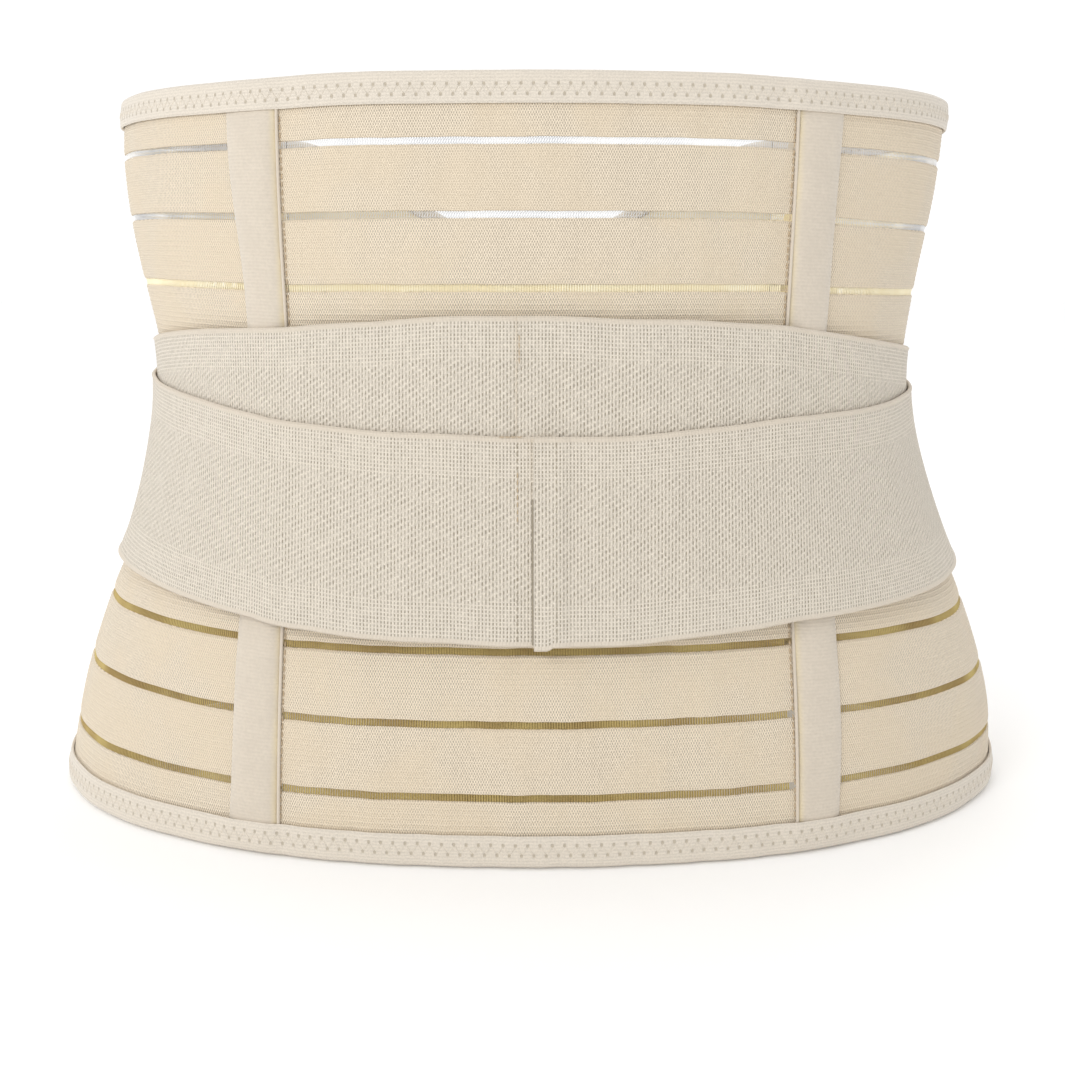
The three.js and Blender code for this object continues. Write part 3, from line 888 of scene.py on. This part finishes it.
def near_bone(sign, away, z):
    """The station at a distance away from a bone, in millimetres outward along the cloth."""
    bone = np.interp(z, form.heights, form.bone_lengths)
    side = np.interp(z, form.heights, form.side_lengths)
    return sign * (BONE_STATION + np.where(away > 0, away / side, away / bone))


def bone_bump(station):
    """How much the binding swells where a bone's tape runs under it."""
    beyond = np.abs(station) - BONE_STATION
    distance = np.abs(np.where(beyond > 0, beyond * SIDE_LENGTH, beyond * BACK_LENGTH))
    return BONE_BUMP * smooth(1.0 - np.maximum(distance - 5.0, 0.0) / 8.0)


def grip_loop(reach, thick, wall=TAPE):
    """A U-section that grips an edge, as (reach in from the edge, out) pairs, going round:
    the outer face from its hem to the edge, over the fold, and down the inner face."""
    outer, inner = thick + GAP + wall, -GAP - wall
    mid, radius = (outer + inner) / 2.0, (outer - inner) / 2.0
    face = np.linspace(reach - 0.35, radius, 26)
    outside = np.stack([face, np.full(len(face), outer)], -1)
    crown = 0.22 * np.sin(np.clip((face - radius) / (reach - radius), 0, 1) * math.pi)
    outside[:, 1] += crown
    turn = np.linspace(math.pi / 2, 3 * math.pi / 2, 14)[1:-1]
    fold = np.stack([radius + radius * np.cos(turn), mid + radius * np.sin(turn)], -1)
    back = np.stack([face[::-3], np.full(len(face[::-3]), inner)], -1)
    hem_in = np.array([[reach, inner + wall * 0.35], [reach - 0.3, -GAP]])
    hollow = np.array([[reach * 0.6, -GAP], [wall + 0.7, -GAP], [wall, 0.3]])
    hollow_out = np.array(
        [[wall, thick - 0.3], [wall + 0.7, thick + GAP], [reach * 0.6, thick + GAP]]
    )
    hem_out = np.array([[reach - 0.3, thick + GAP], [reach, outer - wall * 0.35]])
    return np.concatenate([outside, fold, back, hem_in, hollow, hollow_out, hem_out])


def make_bindings():
    loop = grip_loop(BINDING_HEIGHT, BAND_THICK)
    outside = loop[:, 1] > BAND_THICK
    for level, edge, inward in (("top", HEIGHT, -1.0), ("bottom", 0.0, 1.0)):
        for side, sign in SIDES.items():
            stations = np.linspace(*sorted([0.0, sign * (SEAM_STATION - 0.001)]), BINDING_COLUMNS)

            def section(stations):
                z = edge + inward * loop[None, :, 0] * np.ones((len(stations), 1))
                lift = bone_bump(stations)[:, None] * outside[None, :]
                hem = smooth(loop[None, :, 0] / 4.0)
                return z, loop[None, :, 1] + lift * hem

            name, cloth = f"binding_{level}_{side}", cloths["binding"]
            piece = belt_sweep(name, stations, section, cloth, edge, loop[None, :, 0], 60)
            finish_piece(piece, [f"{level}_binding"], seam=side)
            stitches = zigzag(f"zigzag_{level}_{side}", sign, edge, inward)
            finish_piece(stitches, seam=side)


def zigzag(name, sign, edge, inward):
    """Thread that goes to and fro between two rows of needle holes."""
    face = BAND_THICK + GAP + TAPE + 0.2
    total = float(form.length_at(np.array(SEAM_STATION), np.array(edge)))
    half = ZIGZAG_PERIOD / 2.0
    fine = np.linspace(0.0, SEAM_STATION, 400)
    lengths = form.length_at(fine, np.full(fine.shape, edge))
    paths = []
    shares = np.linspace(0.0, 1.0, len(STITCH_RISE))
    for i in range(int(total / half)):
        start, end = i * half, (i + 1) * half
        first, second = ZIGZAG_ROWS[::-1] if i % 2 else ZIGZAG_ROWS
        stations = sign * np.interp(mix(start, end, shares), lengths, fine)
        across = mix(first, second, shares)
        offset = face + STITCH_RISE + bone_bump(stations)
        paths.append(belt_points(stations, edge + inward * across, offset))
    return tubes(name, paths, STITCH_RADIUS, 5, cloths["thread"])


# ---- bone casings, their piped seam cords and stitches ----
CASING_STEPS = 130
CASING_END = 2.5
CASING_INNER_HALF = 7.9
CORD_RADIUS = 0.55
CORD_FROM_BONE = 8.4

# Half of a casing's width on its outer side, as (height, width) pairs: the tape is held narrower
# at the waist, where it is pulled over the bone.
CASING_OUTER = {
    "left": ((0, 10.0), (60, 9.5), (150, 7.4), (190, 7.5), (225, 11.6), (250, 12.5)),
    "right": ((0, 8.2), (60, 8.2), (150, 8.0), (190, 8.4), (225, 9.8), (250, 10.4)),
}


def casing_top(z):
    """The tape flattens where it goes under the bindings."""
    from_end = np.minimum(z, HEIGHT - z)
    return mix(2.75, 4.15, smooth((from_end - 8.0) / 9.0))


def make_casings():
    z = np.linspace(CASING_END, HEIGHT - CASING_END, CASING_STEPS)
    shares = np.linspace(-1.0, 1.0, 33)
    crown = np.clip(1.0 - np.abs(shares) ** 3.2, 0.0, 1.0) ** 0.8
    floor = BAND_THICK + 0.15
    for side, sign in SIDES.items():
        outer_half = table_at(CASING_OUTER[side], z)[:, None]
        wobble = 0.25 * np.sin(z * 0.09 + sign)[:, None]
        half = np.where(shares[None, :] < 0, outer_half, CASING_INNER_HALF)
        across_mm = shares[None, :] * half + wobble
        top = floor + (casing_top(z)[:, None] - floor) * crown[None, :]
        puckers = 0.05 * np.sin(z * 2.0 * math.pi / 2.3)[:, None] * (shares[None, :] > 0.55)
        outer = top + puckers
        inner_mm = across_mm[:, ::-1][:, 4:-4:3]
        inner = np.full(inner_mm.shape, floor - 0.1)
        across_all = np.concatenate([across_mm, inner_mm], 1)
        offset = np.concatenate([outer, inner], 1)
        away = CASING_SHIFT[side] - across_all
        stations = near_bone(sign, away, z[:, None])
        height = np.broadcast_to(z[:, None], stations.shape)
        points = belt_points(stations, height, offset)
        weave = np.stack([height, across_all, np.full(stations.shape, sign * 2.0)], -1)
        piece = sweep(f"casing_{side}", points, weave, cloths["tape"], 50.0)
        finish_piece(piece, [f"bone_casing_{side}"], ride="root")
        seam_cord(side, sign)


def seam_cord(side, sign):
    """A thin piped cord along the casing's inner edge, with stitches in its groove."""
    z = np.linspace(9.0, HEIGHT - 9.0, 160)
    away = CORD_FROM_BONE + 0.25 * np.sin(z * 0.05 + 1.0)
    station = near_bone(sign, CASING_SHIFT[side] - away, z)
    path = belt_points(station, z, BAND_THICK + 0.55)
    cord = tubes(f"seam_cord_{side}", [path], CORD_RADIUS, 10, cloths["tape"])
    finish_piece(cord, ride="root")
    paths, pitch = [], 2.6
    for start in np.arange(12.0, HEIGHT - 13.0, pitch):
        levels = np.linspace(start, start + pitch * 0.62, 4)
        away = CORD_FROM_BONE + CORD_RADIUS + 0.35
        stations = near_bone(sign, (CASING_SHIFT[side] - away) * np.ones(4), levels)
        rise = np.array([0.0, 0.22, 0.22, 0.0])
        paths.append(belt_points(stations, levels, BAND_THICK + rise))
    stitches = tubes(f"seam_stitches_{side}", paths, 0.2, 5, cloths["tack"])
    finish_piece(stitches, ride="root")


SEAM_TAPE_WIDTH = 12.0
SEAM_TAPE_END = 3.0
SEAM_TAPE_AHEAD = 3.5


def make_seam_tapes():
    z = np.linspace(SEAM_TAPE_END, HEIGHT - SEAM_TAPE_END, 90)
    loop = rounded_loop(SEAM_TAPE_WIDTH, TAPE * 0.9, 14, 3)
    for side, sign in SIDES.items():
        stations = sign * (SEAM_STATION + (SEAM_TAPE_AHEAD - loop[:, 0]) / SIDE_LENGTH)
        station = np.broadcast_to(stations[None, :], (len(z), len(loop)))
        height = np.broadcast_to(z[:, None], station.shape)
        offset = BAND_THICK + 0.35 + np.broadcast_to(loop[None, :, 1], station.shape)
        points = belt_points(station, height, offset)
        across = np.broadcast_to(loop[None, :, 0] - SEAM_TAPE_WIDTH / 2.0, station.shape)
        weave = np.stack([height, across, np.full(station.shape, 5.0 + sign)], -1)
        tape = sweep(f"seam_tape_{side}", points, weave, cloths["tape"], 50.0)
        finish_piece(tape, [f"front_seam_tape_{side}"], seam=side)


# ---- straps ----
STRAP_COLUMNS = 190
STRAP_ROWS = 60
STRAP_HEM = 8.0
STRAP_PULL = 2.2
SELVAGE = 1.6
HEM_RISE = np.array([-0.25, 0.10, 0.10, -0.25])


def strap_middle(strap, station):
    along = np.abs(station)
    length = np.where(
        along < BONE_STATION,
        along * BACK_LENGTH,
        BACK_LENGTH + (along - BONE_STATION) * SIDE_LENGTH,
    )
    return strap["height"] + strap["slope"] * (np.hypot(length, strap["turn"]) - strap["turn"])


def strap_loop(thick):
    """A strap's section, with a rounder, thicker selvage along each edge."""

    def outer(run):
        edge = np.minimum(run, STRAP_WIDTH - run)
        roll = 0.32 * np.clip(1.0 - np.abs(edge - SELVAGE / 2.0) / (SELVAGE / 2.0), 0, 1) ** 0.5
        groove = -0.12 * np.exp(-(((edge - SELVAGE - 0.35) / 0.35) ** 2))
        return roll + groove

    return rounded_loop(STRAP_WIDTH, thick, STRAP_ROWS, 4, outer)


def make_straps():
    for level, strap in STRAPS.items():
        thick = strap["outer"] - strap["inner"]
        loop = strap_loop(thick)
        for side, sign in SIDES.items():
            make_strap(level, strap, loop, side, sign)


def make_strap(level, strap, loop, side, sign):
    """The right half ends in a folded hem that lies over the end of the left half."""
    edge = strap["edge"]
    inner_end = edge / BACK_LENGTH if sign > 0 else (edge + STRAP_HEM) / BACK_LENGTH
    stations = np.linspace(*sorted([inner_end, sign * SEAM_STATION]), STRAP_COLUMNS)
    from_centre = form.length_at(stations, np.full(stations.shape, strap["height"]))
    hem = smooth(1.0 - (np.abs(from_centre - edge - STRAP_HEM / 2.0) - STRAP_HEM / 2.0) / 4.0)
    lift = (strap["hem"] if sign > 0 else -0.15) * hem
    tail = 1.0 * smooth(1.0 - np.maximum(from_centre - edge - 4.0, 0.0) / 2.0) * (sign > 0)
    waver = 0.3 * np.sin(stations * 6.1 + strap["height"]) + 0.15 * np.sin(stations * 15.0)

    def section(stations):
        share = loop[None, :, 0] - STRAP_WIDTH / 2.0
        low = smooth((-share - 20.0) / 10.0)
        z = strap_middle(strap, stations)[:, None] + share + waver[:, None]
        z = z - tail[:, None] * low
        puff = 0.25 * np.cos(share / STRAP_WIDTH * math.pi)
        tight = STRAP_PULL * side_share(stations)[:, None]
        offset = strap["inner"] + loop[None, :, 1] + lift[:, None] + puff - tight
        return z, offset

    across = loop[None, :, 0] - STRAP_WIDTH / 2.0
    seed, name = 11.0 * sign + strap["height"], f"strap_{level}_{side}"
    piece = belt_sweep(name, stations, section, cloths["strap"], seed, across, 60)
    finish_piece(piece, [name], seam=side)


def stitch_column(name, from_centre, low, high, offset, material, stitch=1.5, pitch=2.3):
    """A column of short stitches up a strap, beside the back centre."""
    station = from_centre / BACK_LENGTH
    paths = []
    for start in np.arange(low, high, pitch):
        levels = np.linspace(start, start + stitch, 4)
        paths.append(belt_points(station + 0.0 * levels, levels, offset + HEM_RISE))
    line = tubes(name, paths, 0.16, 5, material)
    finish_piece(line, ride="root")


def centre_stitches():
    """The lines of stitches that hold the strap halves together at the back centre, and a dark
    thread line of painted shadow beside the edge of the right half's hem.
    """
    upper, lower = STRAPS["upper"], STRAPS["lower"]
    half = STRAP_WIDTH / 2.0
    top, bottom = lower["height"] + half, lower["height"] - half
    on_left, on_right = lower["outer"] + 0.25, lower["outer"] + lower["hem"] + 0.25
    dim, brown = cloths["dim"], cloths["tack"]
    stitch_column("hem_left", -5.4, bottom + 2.0, top - 2.0, on_left - 0.1, dim)
    stitch_column("hem_left_brown", -5.2, bottom + 39.0, bottom + 55.0, on_left + 0.1, brown)
    stitch_column("hem_right", 7.2, bottom + 2.5, top - 2.5, on_right - 0.15, dim)
    # Painted shadow: a dark thread line beside the right half's hem edge, over its lower part
    # only.
    levels = np.linspace(bottom + 1.0, bottom + 46.0, 60)
    groove = belt_points(-0.45 / BACK_LENGTH + 0.0 * levels, levels, on_left + 0.1)
    groove = tubes("hem_painted_shadow_line", [groove], 0.17, 6, dim)
    finish_piece(groove, ride="root")
    low = upper["height"]
    outer = upper["outer"] + upper["hem"] + 0.2
    stitch_column("hem_upper", -4.9, low + 4.0, low + half - 2.0, outer, cloths["thread"])
    stitch_column("hem_upper_brown", -4.7, low + 18.0, low + 25.0, outer + 0.1, brown, 1.9)
    paths = []
    for start in np.arange(-11.0, -4.5, 1.9):
        stations = np.linspace(start, start + 1.5, 4) / BACK_LENGTH
        paths.append(belt_points(stations, top + 0.2, on_left + 0.2 + HEM_RISE))
    line = tubes("edge_tack", paths, 0.15, 5, brown)
    finish_piece(line, ride="root")


# ---- front panels and closure. x runs from the front centre towards the panel's own seam. ----
PANEL_COLUMNS = 66
PANEL_ROWS = 90
PANEL_ZIGZAG_ROWS = (3.4, 6.2)
TAB_CORNER = 12.0


def panel_top(x):
    return HEIGHT - FRONT_DIP * smooth((SEAM_X - x) / SEAM_X)


def panel_bottom(x):
    return FRONT_RISE * smooth((SEAM_X - x) / SEAM_X)


def flap_lift(x, side):
    if side == "left":
        return np.zeros_like(x)
    return FLAP_LIFT * smooth((LIFT_FROM_X - x) / (LIFT_FROM_X - LIFT_TO_X))


def front_points(side, x, z, offset):
    sign = SIDES[side]
    x = np.asarray(x, float)
    station = sign * (FRONT_STATION - x / SEAM_X)
    return belt_points(station, z, offset + flap_lift(x, side))


def front_solid(name, side, x, low, high, inner, outer, rows, material, seed, edge=0.5):
    """A patch on the front: x, and its lowest and highest heights there, with soft edges."""
    count = len(x)
    shares = 0.5 - 0.5 * np.cos(np.linspace(0.0, math.pi, rows))
    z = low[:, None] + (high - low)[:, None] * shares[None, :]
    distance = np.minimum(z - low[:, None], high[:, None] - z)
    ends = np.minimum(np.abs(x - x[0]), np.abs(x - x[-1]))[:, None]
    near = np.minimum(distance, ends)
    thick = (outer - inner) * np.sqrt(np.clip(near / edge, 0.0, 1.0))
    middle = (outer + inner) / 2.0
    front = front_points(side, x[:, None] + 0 * z, z, middle + thick / 2.0)
    back = front_points(side, x[:, None] + 0 * z, z, middle - thick / 2.0)
    points = np.concatenate([front.reshape(-1, 3), back.reshape(-1, 3)])
    place = np.stack([x[:, None] + 0 * z, z, np.full(z.shape, seed)], -1)
    under_place = place.copy()
    if inner == 0.0:
        under_place[..., 2] += INSIDE + z
    weave = np.concatenate([place.reshape(-1, 3), under_place.reshape(-1, 3)])
    faces = grid_faces(count, rows, False)
    under = [face[::-1] for face in grid_faces(count, rows, False, count * rows)]
    rim = [i * rows for i in range(count)]
    rim += [(count - 1) * rows + j for j in range(1, rows)]
    rim += [i * rows + rows - 1 for i in range(count - 2, -1, -1)]
    rim += [j for j in range(rows - 2, 0, -1)]
    base = count * rows
    walls = []
    for a, b in zip(rim, rim[1:] + rim[:1]):
        walls.append([b, a, a + base, b + base])
    faces = faces + under + walls
    if signed_volume(points - points.mean(0), faces) < 0:
        faces = [face[::-1] for face in faces]
    return make_mesh(name, points, faces, weave, material, 60.0)


def make_panels():
    inset = TAPE + GAP
    free_end = -CLOSURE_OVERLAP + inset
    radius = CORNER_RADIUS - inset
    for side in SIDES:
        name = {"left": "under", "right": "outer"}[side]
        run = np.linspace(SEAM_X - 0.1, free_end + radius, PANEL_COLUMNS)
        turn = np.linspace(0.0, math.pi / 2, 16)[1:]
        x = np.concatenate([run, free_end + radius * (1.0 - np.sin(turn))])
        corner = np.concatenate([np.zeros(len(run)), radius * (1.0 - np.cos(turn))])
        low = panel_bottom(x) + inset + corner
        high = panel_top(x) - inset - corner
        panel = front_solid(
            f"panel_{name}", side, x, low, high, 0.0, PANEL_THICK, PANEL_ROWS,
            cloths["panel"], SIDES[side] * 5.0, 0.3,
        )
        finish_piece(panel, [f"front_panel_{name}"], seam=side)
        make_panel_binding(name, side)


def panel_outline():
    """The panel's edge from its seam along the top, round the free end and back below: points
    (x, z) on the edge, the direction in from it, and the length so far."""
    corner_x = -CLOSURE_OVERLAP + CORNER_RADIUS
    upper = panel_top(corner_x) - CORNER_RADIUS
    lower = panel_bottom(corner_x) + CORNER_RADIUS
    points, inward = [], []

    def corner(angles, level):
        for angle in angles:
            c, s = math.cos(angle), math.sin(angle)
            points.append((corner_x - CORNER_RADIUS * c, level + CORNER_RADIUS * s))
            inward.append((c, -s))

    for x in np.linspace(SEAM_X - 0.1, corner_x, 70):
        points.append((x, float(panel_top(x))))
        inward.append((0.0, -1.0))
    corner(np.linspace(math.pi / 2, 0.0, 16)[1:], upper)
    for z in np.linspace(upper, lower, 60)[1:-1]:
        points.append((-CLOSURE_OVERLAP, z))
        inward.append((1.0, 0.0))
    corner(np.linspace(0.0, -math.pi / 2, 16), lower)
    for x in np.linspace(corner_x, SEAM_X - 0.1, 70)[1:]:
        points.append((x, float(panel_bottom(x))))
        inward.append((0.0, 1.0))
    points, inward = np.array(points), np.array(inward)
    length = np.concatenate([[0.0], np.cumsum(np.hypot(*np.diff(points, axis=0).T))])
    return points, inward, length


def make_panel_binding(name, side):
    edge, inward, length = panel_outline()
    loop = grip_loop(PANEL_BINDING, PANEL_THICK, TAPE * 0.9)
    spot = edge[:, None, :] + inward[:, None, :] * loop[None, :, 0:1]
    offset = np.broadcast_to(loop[None, :, 1], spot.shape[:2])
    points = front_points(side, spot[..., 0], spot[..., 1], offset)
    along = np.broadcast_to(length[:, None], offset.shape)
    across = np.broadcast_to(loop[None, :, 0], offset.shape)
    weave = np.stack([along, across, np.full(offset.shape, 9.0)], -1)
    binding = sweep(f"panel_binding_{name}", points, weave, cloths["binding"], 60.0)
    finish_piece(binding, [f"front_binding_{name}"], seam=side)
    half = ZIGZAG_PERIOD / 2.0
    paths = []
    face = PANEL_THICK + GAP + TAPE * 0.9 + 0.2
    for i in range(int(length[-1] / half)):
        where = np.linspace(i * half, (i + 1) * half, len(STITCH_RISE))
        first, second = PANEL_ZIGZAG_ROWS if i % 2 else PANEL_ZIGZAG_ROWS[::-1]
        reach = np.linspace(first, second, len(STITCH_RISE))
        base = np.stack([np.interp(where, length, edge[:, k]) for k in (0, 1)], -1)
        into = np.stack([np.interp(where, length, inward[:, k]) for k in (0, 1)], -1)
        spot = base + into * reach[:, None]
        paths.append(front_points(side, spot[:, 0], spot[:, 1], face + STITCH_RISE))
    stitches = tubes(f"panel_zigzag_{name}", paths, STITCH_RADIUS, 5, cloths["thread"])
    finish_piece(stitches, seam=side)


def front_patch(name, side, ends, levels, layers, steps, rows, material, seed):
    """A rectangular patch on the front, between two x ends, two heights and two layers."""
    x = np.linspace(*ends, steps)
    low, high = levels
    flat = np.ones_like(x)
    patch = front_solid(name, side, x, low * flat, high * flat, *layers, rows, material, seed)
    return patch


def make_closure():
    hook = front_patch(
        "closure_hooks", "right", (12.0, -17.0), (42.0, 172.0), (-1.4, -0.3), 26, 70,
        cloths["hook"], 3.0,
    )
    finish_piece(hook, ["closure_hook_patch"], ride="outer_flap")
    loops = front_patch(
        "closure_loops", "left", (17.0, -17.0), (32.0, 182.0), (2.3, 3.2), 26, 70,
        cloths["panel"], 4.0,
    )
    finish_piece(loops, ["closure_loop_field"], ride="under_flap")


def make_tabs():
    half = STRAP_WIDTH / 2.0
    top = float(strap_middle(STRAPS["lower"], np.array(SEAM_STATION))) + half
    bottom = float(strap_middle(STRAPS["upper"], np.array(SEAM_STATION))) - half
    tab_top, tab_bottom = TAB["mid"] + TAB["height"] / 2.0, TAB["mid"] - TAB["height"] / 2.0
    for side, sign in SIDES.items():
        x = np.linspace(SEAM_X + 0.5, TAB["hinge"] - 2.0, 24)
        share = (x[0] - x) / (x[0] - x[-1])
        join = front_solid(
            f"strap_end_{side}", side, x, mix(bottom, tab_bottom, share), mix(top, tab_top, share),
            4.2, 7.3, 50, cloths["strap"], 20.0 + sign, 0.8,
        )
        finish_piece(join, [f"strap_join_{side}"], seam=side)
        x = np.linspace(TAB["hinge"], TAB["end"], 60)
        share = (x[0] - x) / (x[0] - x[-1])
        from_end = np.clip(x - TAB["end"], 0.0, TAB_CORNER)
        inside_corner = np.maximum(TAB_CORNER**2 - (TAB_CORNER - from_end) ** 2, 0.0)
        corner = TAB_CORNER - np.sqrt(inside_corner)
        inset = TAB["taper"] * share * 0.6 + corner * 0.6
        tab = front_solid(
            f"pull_tab_{side}", side, x, tab_bottom + inset, tab_top - inset,
            3.6, 5.7, 60, cloths["strap"], 30.0 + sign, 0.9,
        )
        finish_piece(tab, [f"pull_tab_{side}"], tab=side)
        hooks = front_patch(
            f"tab_hooks_{side}", side, (80.0, 44.0), (TAB["mid"] - 27.0, TAB["mid"] + 27.0),
            (2.3, 3.3), 40, 50, cloths["hook"], 40.0 + sign,
        )
        finish_piece(hooks, [f"tab_hook_{side}"], tab=side)


LABEL_WIDTH = 23.0
LABEL_HEIGHT = 48.0
LABEL_BOTTOM = 14.0


def make_label():
    half = LABEL_WIDTH / 2.0
    stations = np.linspace(-half, half, 24) / BACK_LENGTH
    loop = rounded_loop(LABEL_HEIGHT, 0.4, 40, 2)

    def section(stations):
        z = LABEL_BOTTOM + loop[None, :, 0] * np.ones((len(stations), 1))
        curl = 0.25 * np.sin(z * 0.2 + stations[:, None] * 30.0)
        return z, -1.0 + loop[None, :, 1] - np.abs(curl)

    label = belt_sweep("care_label_cloth", stations, section, cloths["label"], 50.0)
    finish_piece(label, ["care_label"], ride="root")


# ---- stage, light and camera ----


STUDIO_LEVEL = 1.06
STUDIO_DIMMING = -1.0


def dim_right_side(tree):
    """The studio is plain white, and dark high up on the +X side of its -Y half."""
    background = tree.nodes["Background"]
    background.inputs["Color"].default_value = (1.0, 1.0, 1.0, 1.0)
    place = tree.nodes.new("ShaderNodeTexCoord")
    split = tree.nodes.new("ShaderNodeSeparateXYZ")
    tree.links.new(place.outputs["Generated"], split.inputs[0])
    levels = []
    spans = (
        (split.outputs[0], -0.3, 0.7),
        (split.outputs[1], 0.1, -0.5),
        (split.outputs[2], 0.3, 0.6),
    )
    for socket, low, high in spans:
        ramp = tree.nodes.new("ShaderNodeMapRange")
        ramp.interpolation_type = "SMOOTHSTEP"
        ramp.inputs["From Min"].default_value = min(low, high)
        ramp.inputs["From Max"].default_value = max(low, high)
        ramp.inputs["To Min"].default_value = 0.0 if low < high else 1.0
        ramp.inputs["To Max"].default_value = 1.0 if low < high else 0.0
        tree.links.new(socket, ramp.inputs["Value"])
        levels.append(ramp.outputs["Result"])
    dimmed = levels[0]
    for level in levels[1:]:
        product = tree.nodes.new("ShaderNodeMath")
        product.operation = "MULTIPLY"
        tree.links.new(dimmed, product.inputs[0])
        tree.links.new(level, product.inputs[1])
        dimmed = product.outputs[0]
    strength = tree.nodes.new("ShaderNodeMath")
    strength.operation = "MULTIPLY_ADD"
    tree.links.new(dimmed, strength.inputs[0])
    strength.inputs[1].default_value = STUDIO_DIMMING
    strength.inputs[2].default_value = STUDIO_LEVEL
    tree.links.new(strength.outputs[0], background.inputs["Strength"])


def make_stage():
    """A pale floor that glows faintly, so that its far part is as white as the studio."""
    bpy.ops.mesh.primitive_circle_add(vertices=96, radius=9.0, fill_type="NGON")
    floor = bpy.context.object
    floor.name = "floor"
    floor.location.z = -0.0005
    material = bpy.data.materials.new("floor_paint")
    material.use_nodes = True
    shader = material.node_tree.nodes["Principled BSDF"]
    shader.inputs["Base Color"].default_value = (0.99, 0.99, 0.99, 1.0)
    shader.inputs["Roughness"].default_value = 0.9
    shader.inputs["Specular IOR Level"].default_value = 0.1
    shader.inputs["Emission Color"].default_value = (1.0, 1.0, 1.0, 1.0)
    shader.inputs["Emission Strength"].default_value = 0.06
    floor.data.materials.append(material)
    world = bpy.data.worlds.new("studio")
    world.use_nodes = True
    dim_right_side(world.node_tree)
    bpy.context.scene.world = world


def add_light(name, place, target, size, power):
    data = bpy.data.lights.new(name, "AREA")
    data.shape = "DISK"
    data.size = size
    data.energy = power
    lamp = bpy.data.objects.new(name, data)
    lamp.location = place
    aim = Vector(target) - Vector(place)
    lamp.rotation_euler = aim.to_track_quat("-Z", "Y").to_euler()
    bpy.context.scene.collection.objects.link(lamp)


LAMPS = {
    "key": {"place": (-1.05, -1.6, 1.25), "size": 0.9, "power": 11.0},
    "rear": {"place": (0.4, 1.6, 1.6), "size": 1.4, "power": 5.0},
}
LAMP_TARGET = (0.0, 0.0, 0.12)


def make_lights():
    for name, lamp in LAMPS.items():
        add_light(name, lamp["place"], LAMP_TARGET, lamp["size"], lamp["power"])


CAMERA_DISTANCE = 565.2
CAMERA_HEIGHT = 188.3
CAMERA_TURN = 0.0079
CAMERA_TILT = 0.0698
FOCAL_SHARE = 1.3783
CAMERA_SHIFT = (0.0014, -0.15)


def make_camera():
    data = bpy.data.cameras.new("camera")
    data.sensor_width = 36.0
    data.lens = FOCAL_SHARE * data.sensor_width
    data.shift_x, data.shift_y = CAMERA_SHIFT
    data.clip_start, data.clip_end = 0.01, 100.0
    camera = bpy.data.objects.new("camera", data)
    x = -CAMERA_DISTANCE * math.sin(CAMERA_TURN)
    y = -CAMERA_DISTANCE * math.cos(CAMERA_TURN) + middle_shift
    camera.location = Vector((x, y, CAMERA_HEIGHT)) * MM
    level = math.cos(CAMERA_TILT)
    aim = Vector(
        (math.sin(CAMERA_TURN) * level, math.cos(CAMERA_TURN) * level, -math.sin(CAMERA_TILT))
    )
    camera.rotation_euler = aim.to_track_quat("-Z", "Y").to_euler()
    bpy.context.scene.collection.objects.link(camera)
    bpy.context.scene.camera = camera


def dress_bones():
    for side in SIDES:
        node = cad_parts[f"steel_bone_{side}"]
        node.data.materials.clear()
        node.data.materials.append(cloths["steel"])


make_camera()
make_stage()
make_lights()
make_bands()
make_slots()
make_bindings()
make_casings()
make_seam_tapes()
make_straps()
centre_stitches()
make_panels()
make_closure()
make_tabs()
make_label()
dress_bones()
bpy.context.scene.view_settings.view_transform = "Standard"
